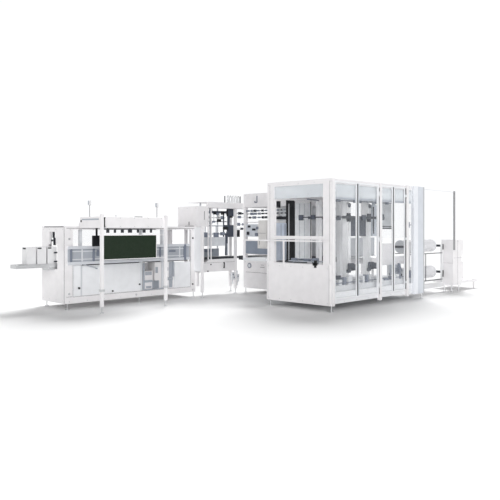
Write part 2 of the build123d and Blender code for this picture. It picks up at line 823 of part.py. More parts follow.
# Carriage: a beam on each pair of columns. In front, shoes carry it between the two strands of each lift belt,
# and a clamp plate ties it to the left strand.
wheel_back = lift_nears[0] - wheel_gap
wheel_front = wheel_back - wheel_width
drive_back = wheel_front - wheel_gap
belt_radius = wheel_radius + lift_belt_thickness
lift_middles = [x + lift_column / 2 for x in lift_lefts]
carriage_span = (tower_left + carriage_start, tower_left + carriage_end)
with BuildPart() as carriage:
    for y in (drive_back - carriage_depth, lift_nears[1] + lift_column):
        bar(carriage_span, (y, y + carriage_depth), (carriage_level, carriage_level + carriage_high))
    for x in lift_middles:
        bar((x - shoe_width / 2, x + shoe_width / 2), (drive_back, lift_nears[0]), (shoe_low, shoe_high))
        bar((x - belt_radius - clamp_width, x - belt_radius), (drive_back, wheel_back),
            (carriage_level - carriage_high / 2, carriage_level - carriage_high / 2 + clamp_high))
        with BuildSketch(Plane.XZ.offset(-wheel_back)) as loop:
            with Locations((x, (wheel_levels[0] + wheel_levels[1]) / 2)):
                SlotCenterToCenter(wheel_levels[1] - wheel_levels[0], 2 * belt_radius, rotation=90)
                SlotCenterToCenter(wheel_levels[1] - wheel_levels[0], 2 * wheel_radius, rotation=90,
                                   mode=Mode.SUBTRACT)
        extrude(amount=wheel_width)
finish(carriage, "tower_carriage")

# Lift drives: flanged wheels on shafts from the columns. At each lower wheel a gear housing on a bracket,
# with a motor that has cooling fins along its length and a fan cowl at its end.
with BuildPart() as motors:
    for x in lift_middles:
        for z in wheel_levels:
            with BuildSketch(Plane.YZ.offset(x)) as profile:
                with BuildLine():
                    Polyline(
                        (lift_nears[0], z),
                        (lift_nears[0], z + lift_shaft_radius),
                        (wheel_back, z + lift_shaft_radius),
                        (wheel_back, z + wheel_radius - belt_fit),
                        (wheel_front, z + wheel_radius - belt_fit),
                        (wheel_front, z + wheel_flange),
                        (wheel_front - wheel_flange_thickness, z + wheel_flange),
                        (wheel_front - wheel_flange_thickness, z + lift_shaft_radius),
                        (drive_back, z + lift_shaft_radius),
                        (drive_back, z),
                        close=True,
                    )
                make_face()
            revolve(axis=Axis((x, 0, z), (0, 1, 0)))
        level = wheel_levels[0]
        bar((x - wheel_radius, x + wheel_radius), (drive_back, lift_nears[0]),
            (level - gear_size / 2 - gear_size / 4, level - wheel_flange - wheel_gap))
        with BuildSketch(Plane.XZ.offset(-drive_back)) as housing_outline:
            with Locations((x, level)):
                RectangleRounded(gear_size, gear_size, gear_size / 5)
        extrude(amount=gear_depth)
        with BuildSketch(Plane.XZ.offset(-drive_back + gear_depth)) as finned:
            with Locations((x, level)):
                Circle(motor_radius)
                with PolarLocations(motor_radius + motor_fin / 2 - 1, motor_fins):
                    Rectangle(motor_fin + 2, motor_fin_thickness)
        extrude(amount=motor_length)
        with BuildSketch(Plane.XZ.offset(-drive_back + gear_depth + motor_length)) as cowl:
            with Locations((x, level)):
                Circle(cowl_radius)
        extrude(amount=cowl_length)
    for start, end, top in bed_motors:
        bar((tower_left + start, tower_left + end),
            (tower_front + bed_motor_near, between_lifts[0] - bed_motor_depth / 2), (tower_bed_high, top))
    bar((lift_lefts[1] - film_head[0], lift_lefts[1]), (lift_nears[0] + 20, lift_nears[0] + 180),
        (film_head[1], film_head[2]))
finish(motors, "tower_motors")

# Strips and plates on the tower's rear pane, and the housing and panel that hang from the hanger beams
with BuildPart() as curtain:
    for index in range(curtain_count):
        start = tower_left + curtain_start + index * curtain_pitch
        bar((start, start + curtain_strip), (pane_back - 10, pane_back), (transfer_level, tower_header_low))
finish(curtain, "tower_curtain")
wrap_drive_front = tower_front + wrap_drive_near
drive_hanger = wrap_drive_front + wrap_drive_depth / 2
with BuildPart() as inner_panels:
    for start, end, low, high in rear_plates:
        bar((tower_left + start, tower_left + end), (pane_back - rear_plate_thickness, pane_back), (low, high))
    bar((tower_left + wrap_drive[0], tower_left + wrap_drive[1]),
        (wrap_drive_front, wrap_drive_front + wrap_drive_depth), (wrap_drive_low, wrap_drive_high))
    bar((drive_middle - hanger_beam / 2, drive_middle + hanger_beam / 2),
        (drive_hanger - hanger_beam / 2, drive_hanger + hanger_beam / 2), (wrap_drive_high, tower_header_low))
    bar((tower_left + slat_panel[0], tower_left + slat_panel[1]),
        (tower_front + slat_panel_near, tower_front + slat_panel_near + rear_plate_thickness),
        (slat_panel_low, tower_header_low))
finish(inner_panels, "tower_inner_panels")

# Film unit: frame, rails, the two film rolls and the cabinet with the slim guard post on it
film_posts = (tower_right + film_post_inset, film_right - film_beam - film_post_inset)
film_bands = ((film_front, film_front + film_beam), (film_back - film_beam, film_back))
with BuildPart() as film_frame:
    for y in film_bands:
        bar((tower_right, film_right), y, (frame_under, film_base_high))
        for x in film_posts:
            bar((x, x + film_beam), y, (film_base_high, film_post_high))
    bar((guard_post_left, guard_post_right), (film_cabinet_front - guard_post_width, film_cabinet_front),
        (guard_post_low, guard_post_high))
finish(film_frame, "film_frame")
with BuildPart() as film_rails:
    for y in film_bands:
        for z in film_rail_levels:
            bar((film_posts[0] + film_beam, film_posts[1]), y, (z, z + film_rail))
    for x in film_posts:
        for z in film_roll_levels:
            bar((x, x + film_beam), (film_bands[0][1], film_bands[1][0]), (z - film_arm, z + film_arm))
finish(film_rails, "film_rails")
with BuildPart() as film_rolls:
    for z in film_roll_levels:
        core = (film_posts[0] + film_beam, film_posts[1])
        for inset, radius in ((0, film_core_radius), (60, film_roll_radius)):
            with BuildSketch(Plane.YZ.offset(core[0] + inset)) as section:
                with Locations(((film_front + film_back) / 2, z)):
                    Circle(radius)
            extrude(amount=core[1] - core[0] - 2 * inset)
finish(film_rolls, "film_rolls")
with BuildPart() as film_cabinet:
    bar((film_right, cabinet_right), (film_cabinet_front, film_cabinet_back), (film_cabinet_low, film_cabinet_high))
    fillet(film_cabinet.edges().filter_by(Axis.Z).group_by(Axis.X)[-1], film_cabinet_radius)
finish(film_cabinet, "film_cabinet")

# Low discharge table at the right end, on two legs
with BuildPart() as table:
    bar((cabinet_right, discharge_right), (discharge_near, discharge_far),
        (discharge_high - discharge_depth, discharge_high))
    for y in (discharge_near + 40, discharge_far - 40 - discharge_leg):
        bar((discharge_right - discharge_leg_inset, discharge_right - discharge_leg_inset + discharge_leg),
            (y, y + discharge_leg), (0, discharge_high - discharge_depth))
finish(table, "discharge_table")

# Levelling feet under every frame: a round plate and a six-sided spindle up to the frame's underside
inset = foot_radius + 5
foot_places = [
    (x, y, frame_under)
    for x in (collator_left + 90, collator_left + 1900, collator_right - inset)
    for y in (collator_front + 30, collator_back - inset)
]
foot_places += [(x + hood_post / 2, hood_front - hood_post / 2, frame_under) for x in post_lefts]
foot_places += [(collator_right - 30, wing_near + 30, frame_under)]
foot_places += [(middle_post[0] + 30, transfer_front + 30, frame_under)]
foot_places += [(transfer_right - 30, transfer_back - inset, frame_under)]
foot_places += [
    (x, y, frame_under)
    for x in (head_left + 40, head_right - 40)
    for y in (tower_back + 45, transfer_front - 45)
]
foot_places += [
    (x, y, frame_under)
    for x in (tower_left + 40, tower_right - 40)
    for y in (tower_front + 60, tower_back - 60)
]
foot_places += [
    (x, y, film_cabinet_low)
    for x in (film_right + 60, cabinet_right - 80)
    for y in (film_cabinet_front + 60, film_cabinet_back - 60)
]
foot_places += [(x, film_back - 30, frame_under) for x in (tower_right + 150, film_right - 90)]
with BuildPart() as feet:
    for x, y, top in foot_places:
        with Locations((x, y, 0)):
            Cylinder(foot_radius, foot_thickness, align=upright)
        with BuildSketch(Plane.XY.offset(foot_thickness)) as spindle:
            with Locations((x, y)):
                RegularPolygon(spindle_radius, 6)
        extrude(amount=top - foot_thickness)
finish(feet, "levelling_feet")
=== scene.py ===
import random

import bmesh
import bpy
from mathutils import Matrix, Vector
from mathutils.bvhtree import BVHTree


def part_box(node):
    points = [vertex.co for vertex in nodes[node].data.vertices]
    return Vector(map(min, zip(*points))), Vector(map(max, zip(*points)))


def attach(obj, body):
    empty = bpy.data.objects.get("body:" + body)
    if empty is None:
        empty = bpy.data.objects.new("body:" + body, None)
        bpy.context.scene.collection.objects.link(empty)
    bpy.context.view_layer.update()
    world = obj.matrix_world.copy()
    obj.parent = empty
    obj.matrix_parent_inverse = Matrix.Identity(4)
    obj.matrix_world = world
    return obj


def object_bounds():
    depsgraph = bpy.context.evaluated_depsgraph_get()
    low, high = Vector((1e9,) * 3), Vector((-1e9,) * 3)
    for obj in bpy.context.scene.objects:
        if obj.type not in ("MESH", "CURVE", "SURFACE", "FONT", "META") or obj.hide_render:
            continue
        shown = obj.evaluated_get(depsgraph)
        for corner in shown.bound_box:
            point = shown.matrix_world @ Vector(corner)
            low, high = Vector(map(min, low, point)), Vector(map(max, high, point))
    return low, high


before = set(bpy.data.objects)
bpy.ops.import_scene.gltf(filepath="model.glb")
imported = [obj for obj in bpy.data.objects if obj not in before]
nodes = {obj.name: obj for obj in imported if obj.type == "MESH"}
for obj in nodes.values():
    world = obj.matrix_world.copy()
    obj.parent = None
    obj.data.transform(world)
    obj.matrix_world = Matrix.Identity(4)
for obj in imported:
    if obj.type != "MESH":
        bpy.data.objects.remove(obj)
cad_low, cad_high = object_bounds()
scene = bpy.context.scene
scene.view_settings.view_transform = "Standard"
random.seed(7)

# The photograph's camera: level, at standing eye height, with the horizon a little above the middle
EYE = Vector((-11.05, -9.98, 1.70))
HEADING = Vector((0.7054, 0.7088, 0.0))
LENS = 42.62
HORIZON_SHIFT = -0.041
FAR_CLIP = 200


def make_camera():
    data = bpy.data.cameras.new("photo_camera")
    data.lens = LENS
    data.shift_y = HORIZON_SHIFT
    data.clip_end = FAR_CLIP
    camera = bpy.data.objects.new("photo_camera", data)
    camera.location = EYE
    camera.rotation_mode = "QUATERNION"
    camera.rotation_quaternion = HEADING.to_track_quat("-Z", "Y")
    scene.collection.objects.link(camera)
    scene.camera = camera


def face_at(node, axis, side):
    """Where a node of the frame ends along an axis: side 0 is its low end and side 1 its high end."""
    return round(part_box(node)[side]["XYZ".index(axis)], 4)


def around(middle, size):
    """The range that a size covers about its middle."""
    return (middle - size / 2, middle + size / 2)


# Materials: each has its own procedural variation in colour, roughness and bump
LOW_STOP, HIGH_STOP = 0.3, 0.7
BUMP_DISTANCE = 0.002


def new_material(name):
    material = bpy.data.materials.new(name)
    material.use_nodes = True
    tree = material.node_tree
    tree.nodes.clear()
    output = tree.nodes.new("ShaderNodeOutputMaterial")
    shader = tree.nodes.new("ShaderNodeBsdfPrincipled")
    tree.links.new(shader.outputs["BSDF"], output.inputs["Surface"])
    return material, tree, shader


def noise(tree, scale, detail=3.0, stretch=(1, 1, 1)):
    place = tree.nodes.new("ShaderNodeTexCoord")
    mapping = tree.nodes.new("ShaderNodeMapping")
    mapping.inputs["Scale"].default_value = stretch
    texture = tree.nodes.new("ShaderNodeTexNoise")
    texture.inputs["Scale"].default_value = scale
    texture.inputs["Detail"].default_value = detail
    tree.links.new(place.outputs["Object"], mapping.inputs["Vector"])
    tree.links.new(mapping.outputs["Vector"], texture.inputs["Vector"])
    return texture


def ramp(tree, source, stops):
    node = tree.nodes.new("ShaderNodeValToRGB")
    elements = node.color_ramp.elements
    for index, (position, colour) in enumerate(stops):
        element = elements[index] if index < 2 else elements.new(position)
        element.position = position
        element.color = (*colour, 1)
    tree.links.new(source.outputs["Fac"], node.inputs["Fac"])
    return node


def spread(colour, amount):
    return tuple(max(0.0, channel * (1 + amount)) for channel in colour)


def cloudy(tree, cloud, colour, vary):
    """A colour that varies with a noise."""
    node = ramp(tree, cloud, ((LOW_STOP, spread(colour, -vary)), (HIGH_STOP, spread(colour, vary))))
    return node.outputs["Color"]


def inside(tree, low, high):
    """1 where a point lies between two corners of a box, and 0 elsewhere."""
    place = tree.nodes.new("ShaderNodeTexCoord")
    half = [(b - a) / 2 for a, b in zip(low, high)]
    middle = [(a + b) / 2 for a, b in zip(low, high)]
    vector = place.outputs["Object"]
    for operation, value in (("SUBTRACT", middle), ("ABSOLUTE", None), ("SUBTRACT", half)):
        step = tree.nodes.new("ShaderNodeVectorMath")
        step.operation = operation
        tree.links.new(vector, step.inputs[0])
        if value:
            step.inputs[1].default_value = value
        vector = step.outputs["Vector"]
    parts = tree.nodes.new("ShaderNodeSeparateXYZ")
    tree.links.new(vector, parts.inputs["Vector"])
    far = parts.outputs["X"]
    for axis in ("Y", "Z"):
        larger = tree.nodes.new("ShaderNodeMath")
        larger.operation = "MAXIMUM"
        tree.links.new(far, larger.inputs[0])
        tree.links.new(parts.outputs[axis], larger.inputs[1])
        far = larger.outputs["Value"]
    result = tree.nodes.new("ShaderNodeMath")
    result.operation = "LESS_THAN"
    result.inputs[1].default_value = 0.0
    tree.links.new(far, result.inputs[0])
    return result.outputs["Value"]


def zone(x, y, z, colour):
    """A box in which a surface has another colour, from its ranges of x, y and z."""
    return (*zip(x, y, z), colour)


def surface(name, colour, rough, metal=0.0, vary=0.03, scale=6.0, bump=0.02, bump_scale=220.0,
            stretch=(1, 1, 1), zones=()):
    """Paint, plastic or metal with a cloudy variation and a fine bump. A later zone hides an earlier one."""
    material, tree, shader = new_material(name)
    cloud = noise(tree, scale, stretch=stretch)
    tint = cloudy(tree, cloud, colour, vary)
    for low, high, other in zones:
        patch = cloudy(tree, cloud, other, vary)
        mix = tree.nodes.new("ShaderNodeMix")
        mix.data_type = "RGBA"
        tree.links.new(inside(tree, low, high), mix.inputs[0])
        tree.links.new(tint, mix.inputs[6])
        tree.links.new(patch, mix.inputs[7])
        tint = mix.outputs[2]
    tree.links.new(tint, shader.inputs["Base Color"])
    smear = noise(tree, scale * 5, stretch=stretch)
    smooth, matt = rough * 0.85, min(1.0, rough * 1.15)
    gloss = ramp(tree, smear, ((LOW_STOP, (smooth,) * 3), (HIGH_STOP, (matt,) * 3)))
    tree.links.new(gloss.outputs["Color"], shader.inputs["Roughness"])
    shader.inputs["Metallic"].default_value = metal
    grain = noise(tree, bump_scale, detail=2.0, stretch=stretch)
    relief = tree.nodes.new("ShaderNodeBump")
    relief.inputs["Strength"].default_value = bump
    relief.inputs["Distance"].default_value = BUMP_DISTANCE
    tree.links.new(grain.outputs["Fac"], relief.inputs["Height"])
    tree.links.new(relief.outputs["Normal"], shader.inputs["Normal"])
    return material


def clear_sheet(name, colour, alpha, rough=0.06):
    """A clear pane, with faint smears in its gloss."""
    material, tree, shader = new_material(name)
    cloud = noise(tree, 3.0)
    tree.links.new(cloudy(tree, cloud, colour, 0.02), shader.inputs["Base Color"])
    smear = ramp(tree, noise(tree, 9.0), ((0.35, (rough,) * 3), (0.75, (rough * 2.5,) * 3)))
    tree.links.new(smear.outputs["Color"], shader.inputs["Roughness"])
    shader.inputs["Alpha"].default_value = alpha
    return material


# Named tones
SNOW = (0.86, 0.845, 0.855)
# Painted light: a white lighter than the white paint, for white parts in the shade inside the tower
PAINTED_LIGHT_WHITE_TONE = (0.95, 0.955, 0.97)
SKY_TONE = (0.66, 0.69, 0.74)
SLATE_TONE = (0.20, 0.225, 0.28)
MID_TONE = (0.42, 0.45, 0.50)
COAL_TONE = (0.012, 0.013, 0.017)
PAINT_ROUGH = 0.42

WHITE = surface("white_paint", SNOW, PAINT_ROUGH)
COOL = surface("cool_white_paint", (0.87, 0.88, 0.90), PAINT_ROUGH)
COLUMN = surface("column_paint", (0.74, 0.76, 0.79), 0.40)
GREY = surface("grey_paint", MID_TONE, 0.40)
PALE_GREY = surface("pale_grey_paint", (0.70, 0.715, 0.74), 0.40)
SLATE = surface("slate_paint", SLATE_TONE, 0.38, vary=0.08)
DARK = surface("dark_paint", (0.028, 0.032, 0.042), 0.35, vary=0.2)
BLACK = surface("black_plastic", (0.008, 0.009, 0.011), 0.45, vary=0.3)
SEAM = surface("seam_line", (0.16, 0.155, 0.165), 0.6, vary=0.1)
STEEL = surface("brushed_steel", (0.66, 0.67, 0.68), 0.34, metal=0.75, vary=0.05, bump=0.05,
                stretch=(1, 1, 14))
BELT = surface("belt_rubber", (0.035, 0.038, 0.045), 0.7, vary=0.15, bump=0.2, bump_scale=90)
FILM = surface("film_roll", (0.76, 0.76, 0.78), 0.25, vary=0.04, scale=2.0, stretch=(0.4, 1, 1))
CARTON = surface("carton_white", (0.78, 0.78, 0.79), 0.38)
GREEN = surface("dark_green_pane", (0.0004, 0.0130, 0.0004), 0.55, vary=0.1, bump=0.0)
# The folded middle of the side guide is darker than its lips
GUIDE = surface("guide_paint", (0.66, 0.68, 0.72), 0.36, zones=[
    zone((-5, -1), (1.50, 1.61), (1.012, 1.283), (0.42, 0.445, 0.49)),
])
# The tower's front right corner: a pale sheet, its shaded half and the last post
CORNER_DEPTH, WHOLE_HEIGHT = (-2.63, -2.5), (0, 2.8)
TOWER_POST = surface("tower_post_paint", SNOW, PAINT_ROUGH, zones=[
    zone((1.875, 2.07), CORNER_DEPTH, WHOLE_HEIGHT, (0.84, 0.86, 0.90)),
    zone((2.07, 2.32), CORNER_DEPTH, WHOLE_HEIGHT, SKY_TONE),
    zone((2.32, 2.39), CORNER_DEPTH, WHOLE_HEIGHT, (0.50, 0.51, 0.53)),
])
# The rail under the front headers
WINDOW_RAIL = surface("window_rail_paint", SNOW, PAINT_ROUGH, zones=[
    zone((-1.28, 1.9), (-2.56, -2.45), (2.3, 2.4), MID_TONE),
])
# The guide plate and the lower box of the gantry
GANTRY = surface("gantry_paint", (0.06, 0.07, 0.095), 0.35, vary=0.06, zones=[
    zone((-1.25, -0.345), (1.69, 1.72), (1.2, 1.51), (0.72, 0.74, 0.77)),
    zone((-0.35, -0.10), (1.60, 1.80), (0.9, 1.33), (0.50, 0.53, 0.58)),
])
# The head's right sheet, upper left sheet and beige box
HEAD_SHEET = surface("head_sheet_paint", (0.27, 0.31, 0.38), 0.36, vary=0.08, scale=4, zones=[
    zone((1.4, 1.6), (-1, 1.6), (0.8, 2.4), (0.84, 0.86, 0.89)),
    zone((0.05, 0.2), (-1, 1.5), (1.505, 1.9), SKY_TONE),
    zone((0.05, 0.165), (0.5, 1.0), (1.2, 2.0), (0.84, 0.82, 0.80)),
])
# The rear plates beside the curtain and the side guide's plate
PLATE_DEPTH, LEFT_PLATE = (-0.9, -0.8), (-1.3, -0.76)
INNER_SHEET = surface("inner_sheet_paint", (0.60, 0.64, 0.70), 0.38, vary=0.08, zones=[
    zone(LEFT_PLATE, PLATE_DEPTH, (1.9, 2.4), COAL_TONE),
    zone(LEFT_PLATE, PLATE_DEPTH, (0.9, 1.9), (0.52, 0.57, 0.66)),
    # The plate on the curtain's right is pale, and is painted paler than that as painted light in the shade
    # inside the tower
    zone((-0.5, 0.2), PLATE_DEPTH, (0.9, 2.4), (0.92, 0.94, 0.96)),
    zone((1.7, 2.3), (-1.85, -1.75), (1.6, 2.4), (0.62, 0.64, 0.66)),
])
# The carriage is white, painted lighter than the white paint as painted light inside the tower; the zones are
# its front beam and rear beam
CARRIAGE = surface("carriage_paint", PAINTED_LIGHT_WHITE_TONE, 0.5, zones=[
    zone((-1, 2), (-2.5, -2.175), (1.875, 2.065), (0.05, 0.055, 0.07)),
    zone((-1, 2), (-1.4, -1.1), (1.9, 2.065), (0.12, 0.13, 0.15)),
])
MOTOR = surface("motor_paint", (0.075, 0.085, 0.11), 0.35, vary=0.15)
# The guard post at the film cabinet's front
FILM_FRAME = surface("film_frame_paint", (0.80, 0.80, 0.81), 0.40, zones=[
    zone((4.25, 4.31), (-2.5, -2.449), (1.0, 2.8), (0.34, 0.34, 0.35)),
])
CLEAR = clear_sheet("clear_pane", (0.90, 0.94, 0.97), 0.05)
FROST = clear_sheet("header_pane", (0.80, 0.84, 0.875), 0.66, rough=0.25)
# The lift columns are white, painted lighter than the white paint as painted light inside the tower
PAINTED_LIGHT_WHITE = surface("white_paint_with_painted_light", PAINTED_LIGHT_WHITE_TONE, PAINT_ROUGH)
# The lamps at the tops of the masts
MAST = surface("mast_paint", (0.30, 0.30, 0.31), 0.4, zones=[
    zone((-5, -2), (1.5, 1.8), (2.235, 2.4), (0.80, 0.80, 0.81)),
])
# The rear guide of the transfer unit
TRANSFER_BODY = surface("transfer_body_paint", SNOW, PAINT_ROUGH, zones=[
    zone((-1.08, -0.3), (1.960, 1.985), (0.985, 1.2), (0.36, 0.39, 0.44)),
])

NODE_MATERIALS = {
    "infeed_conveyor": STEEL, "infeed_cartons": CARTON, "collator_end_wall": WHITE, "collator_stiles": WHITE,
    "collator_beams": WHITE, "collator_roof": WHITE, "collator_panels": COOL, "collator_columns": COLUMN,
    "side_conveyor_guide": GUIDE, "side_conveyor_bed": BELT, "collator_cabinet": COOL,
    "collator_drives": WHITE, "hood": WHITE, "hood_posts": WHITE, "hood_guard_pane": GREEN,
    "operator_screen": BLACK, "signal_masts": MAST, "transfer_posts": WHITE, "transfer_roof": WHITE,
    "transfer_end_cabinet": WHITE, "transfer_belts": BELT, "transfer_body": TRANSFER_BODY,
    "transfer_gantry": GANTRY, "transfer_cylinders": STEEL, "head_cover": WHITE, "head_body": WHITE,
    "head_panels": HEAD_SHEET, "side_table": PALE_GREY, "guard_rail": WHITE, "tower_posts": TOWER_POST,
    "door_hinges": STEEL, "tower_base_beams": COOL, "tower_top_beams": WHITE, "tower_roof": WHITE,
    "tower_headers": FROST, "tower_lower_panel": WHITE, "tower_window_rails": WINDOW_RAIL,
    "guard_panes": CLEAR, "tower_bed": PALE_GREY, "tower_conveyor": WHITE, "tower_rollers": STEEL,
    "tower_lift_columns": PAINTED_LIGHT_WHITE, "tower_carriage": CARRIAGE, "tower_curtain": BLACK,
    "tower_inner_panels": INNER_SHEET, "tower_motors": MOTOR, "film_frame": FILM_FRAME,
    "film_rails": DARK, "film_rolls": FILM, "film_cabinet": WHITE, "discharge_table": WHITE,
    "levelling_feet": STEEL, "door_1": COOL, "door_2": COOL, "door_3": COOL, "door_4": COOL,
    "door_1_pane": CLEAR, "door_2_pane": CLEAR, "door_3_pane": CLEAR, "door_4_pane": CLEAR,
}


def dress_nodes():
    for name, piece in nodes.items():
        piece.data.materials.clear()
        piece.data.materials.append(NODE_MATERIALS[name])


# Details: small bevelled blocks and rods, joined into one mesh per place and finish
ROD_SIDES = 20
FULL_BEVEL, THIN_BEVEL, LINE_BEVEL = 0.004, 0.002, 0.001
KNOB = 0.02


def round_edges(mesh, edges, offset):
    bmesh.ops.bevel(mesh, geom=edges, offset=offset, segments=2, affect="EDGES", profile=0.7)


def add_block(mesh, x, y, z, bevel):
    size = Vector((x[1] - x[0], y[1] - y[0], z[1] - z[0]))
    middle = Vector(((x[0] + x[1]) / 2, (y[0] + y[1]) / 2, (z[0] + z[1]) / 2))
    place = Matrix.Translation(middle) @ Matrix.Diagonal((*size, 1))
    made = bmesh.ops.create_cube(mesh, size=1, matrix=place)
    edges = list({edge for vertex in made["verts"] for edge in vertex.link_edges})
    round_edges(mesh, edges, min(bevel, 0.25 * min(size)))


def add_rod(mesh, start, end, radius):
    start, end = Vector(start), Vector(end)
    along = end - start
    turn = along.to_track_quat("Z", "Y").to_matrix().to_4x4()
    made = bmesh.ops.create_cone(
        mesh, cap_ends=True, segments=ROD_SIDES, radius1=radius, radius2=radius, depth=along.length,
        matrix=Matrix.Translation((start + end) / 2) @ turn,
    )
    rims = [
        edge for edge in {edge for vertex in made["verts"] for edge in vertex.link_edges}
        if any(len(face.verts) > 4 for face in edge.link_faces)
    ]
    round_edges(mesh, rims, min(0.25 * radius, 0.2 * along.length))


def add_mesh(name, material, mesh, body="root"):
    data = bpy.data.meshes.new(name)
    mesh.to_mesh(data)
    mesh.free()
    piece = bpy.data.objects.new(name, data)
    scene.collection.objects.link(piece)
    data.materials.append(material)
    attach(piece, body)


def detail(name, material, blocks=(), rods=(), body="root", bevel=FULL_BEVEL):
    mesh = bmesh.new()
    for x, y, z in blocks:
        add_block(mesh, x, y, z, bevel)
    for start, end, radius in rods:
        add_rod(mesh, start, end, radius)
    add_mesh(name, material, mesh, body)


def along_y(x, y, z, length, radius):
    """A short rod that stands out towards -Y from a face at y."""
    return ((x, y - length, z), (x, y, z), radius)


def along_x(x, y, z, length, radius):
    """A short rod that stands out towards -X from a face at x."""
    return ((x - length, y, z), (x, y, z), radius)


def rod_x(x, y, z, radius):
    """A rod over a range of x."""
    return ((x[0], y, z), (x[1], y, z), radius)


def rod_y(x, y, z, radius):
    """A rod over a range of y."""
    return ((x, y[0], z), (x, y[1], z), radius)


def rod_z(x, y, z, radius):
    """An upright rod over a range of z."""
    return ((x, y, z[0]), (x, y, z[1]), radius)


def facing(depth, *spots):
    """Blocks with one range of y. Each spot is a range of x and a range of z."""
    return [(x, depth, z) for x, z in spots]


def sideways(depth, *spots):
    """Blocks with one range of x. Each spot is a range of y and a range of z."""
    return [(depth, y, z) for y, z in spots]


def proud(face, *spots):
    """Blocks that stand out from a face towards -Y. Each spot is a range of x, a depth and a range of z."""
    return [(x, (face - depth, face), z) for x, depth, z in spots]


def collator_details():
    front, left = face_at("collator_beams", "Y", 0), face_at("collator_end_wall", "X", 0)
    bay = face_at("collator_cabinet", "Y", 0)
    hood_top = face_at("hood", "Z", 1)
    light = ((-4.929, 1.499, 0.022), (-4.929, 0.335, 0.022), (-3.250, 0.195, 0.022), (-1.567, 0.195, 0.018))
    detail("collator_light_knobs", STEEL, rods=[
        along_y(x, front, z, KNOB, radius) for x, z, radius in light
    ] + [rod_z(-4.223, 0.9, (hood_top, hood_top + 0.04), 0.018)])
    dark = (
        (-4.693, front + 0.015, 0.442, 0.024), (-3.837, bay, 0.315, 0.020), (-3.115, bay, 0.420, 0.020),
        (-1.567, front, 1.486, 0.020), (-1.567, front, 0.329, 0.020),
    )
    detail("collator_dark_knobs", BLACK, rods=[along_y(x, y, z, KNOB, radius) for x, y, z, radius in dark])
    joint = (front - 0.003, front + 0.001)
    detail("collator_seams", SEAM, bevel=LINE_BEVEL, blocks=[
        (around(left, 0.006), around(front, 0.006), (0.14, 1.75)),
        ((-4.99, -1.48), (front - 0.004, front), (1.722, 1.731)),
        ((left - 0.005, left), (1.62, 2.50), (1.748, 1.766)),
        (around(-1.632, 0.004), joint, (0.28, 1.69)),
        (around(-4.840, 0.004), joint, (0.28, 0.94)),
    ] + proud(front, ((-4.99, -4.85), 0.003, (0.268, 0.274)), ((-4.84, -1.63), 0.003, (0.262, 0.268))))
    infeed_details()
    side_guide_details(front, bay)
    bay_details(bay)
    hood_details(hood_top)


def infeed_details():
    rail = face_at("infeed_conveyor", "Y", 0)
    fence, rails, posts = (rail - 0.008, rail + 0.006), (-5.09, -4.72), (0.93, 1.26)
    detail("slot_guides", DARK, blocks=[
        ((-5.0, -4.955), (2.262, 2.30), (1.44, 1.48)), ((-4.985, -4.955), (2.16, 2.28), (1.45, 1.47)),
        ((-4.99, -4.94), (2.15, 2.19), (1.36, 1.52)), ((-4.99, -4.95), (2.19, 2.23), (1.52, 1.66)),
    ] + facing(
        fence, (rails, (1.00, 1.03)), (rails, (1.19, 1.22)), ((-4.97, -4.94), posts), ((-4.80, -4.77), posts),
    ))
    left, front = face_at("infeed_cartons", "X", 0), face_at("infeed_cartons", "Y", 0)
    top, slot, raised = face_at("infeed_cartons", "Z", 1), (1.290, 1.318), 0.003
    detail("carton_slots", BLACK, bevel=0.0008, blocks=[
        ((left - raised, left), (2.045, 2.175), (1.287, 1.318)),
    ] + proud(front, ((-5.434, -5.350), raised, slot), ((-5.204, -5.130), raised, slot)))
    pitch, flap = 0.23, 0.18
    starts = [left + 0.008 + index * pitch for index in range(3)]
    detail("carton_flaps", SEAM, bevel=0.0004, blocks=[
        ((start, start + flap), around(2.110, 0.004), (top - 0.0008, top + 0.0006)) for start in starts
    ])


def side_guide_details(front, bay):
    fold = face_at("side_conveyor_guide", "Y", 0) + 0.026
    sheet = (1.01, 1.285)
    detail("guide_brackets", SLATE, blocks=proud(
        fold, ((-4.926, -4.886), 0.028, sheet), ((-4.396, -4.352), 0.028, sheet),
        ((-4.30, -4.235), 0.021, (1.12, 1.25)), ((-2.317, -2.14), 0.018, (1.155, 1.20)),
        ((-1.886, -1.82), 0.034, (0.955, 1.335)), ((-2.62, -2.58), 0.021, sheet),
        ((-3.52, -3.48), 0.021, sheet),
    ))
    slats = [((-4.88, -1.89), 0.010, (z, z + 0.020)) for z in (1.052, 1.222)]
    slats += [((x, x + 0.03), 0.014, sheet) for x in (-4.66, -4.12, -2.02)]
    detail("guide_slats", PALE_GREY, blocks=proud(fold, *slats))
    brace = front + 0.005
    detail("guide_brace", GREY, rods=[((-4.60, brace, 0.952), (-4.26, brace, 0.850), 0.009)],
           blocks=[(around(-4.26, 0.02), (front - 0.002, bay), (0.83, 0.86))])


def bay_details(bay):
    pitch, fin = 0.030, 0.012
    fins = [((x, x + fin), 0.045, (0.300, 0.480)) for x in (-2.752 + index * pitch for index in range(6))]
    detail("bay_motor_fins", GREY, bevel=THIN_BEVEL, blocks=proud(
        bay, *fins, ((-2.98, -2.76), 0.03, (0.45, 0.50)),
    ))
    pan, top = 0.272, 0.92
    detail("bay_machinery", GREY, blocks=proud(
        bay, ((-3.018, -2.995), 0.04, (pan, top)), ((-2.97, -2.42), 0.06, (pan, pan + 0.020)),
        ((-2.256, -2.175), 0.03, (0.29, 0.90)), ((-2.17, -2.13), 0.04, (0.55, top)),
        ((-2.40, -2.30), 0.03, (0.70, 0.78)), ((-2.95, -2.78), 0.02, (0.62, 0.70)),
        ((-2.66, -2.60), 0.02, (0.66, 0.80)),
    ), rods=[
        rod_x((-2.36, -2.18), bay - 0.025, 0.50, 0.035), rod_x((-2.93, -2.80), bay - 0.015, 0.34, 0.022),
    ])


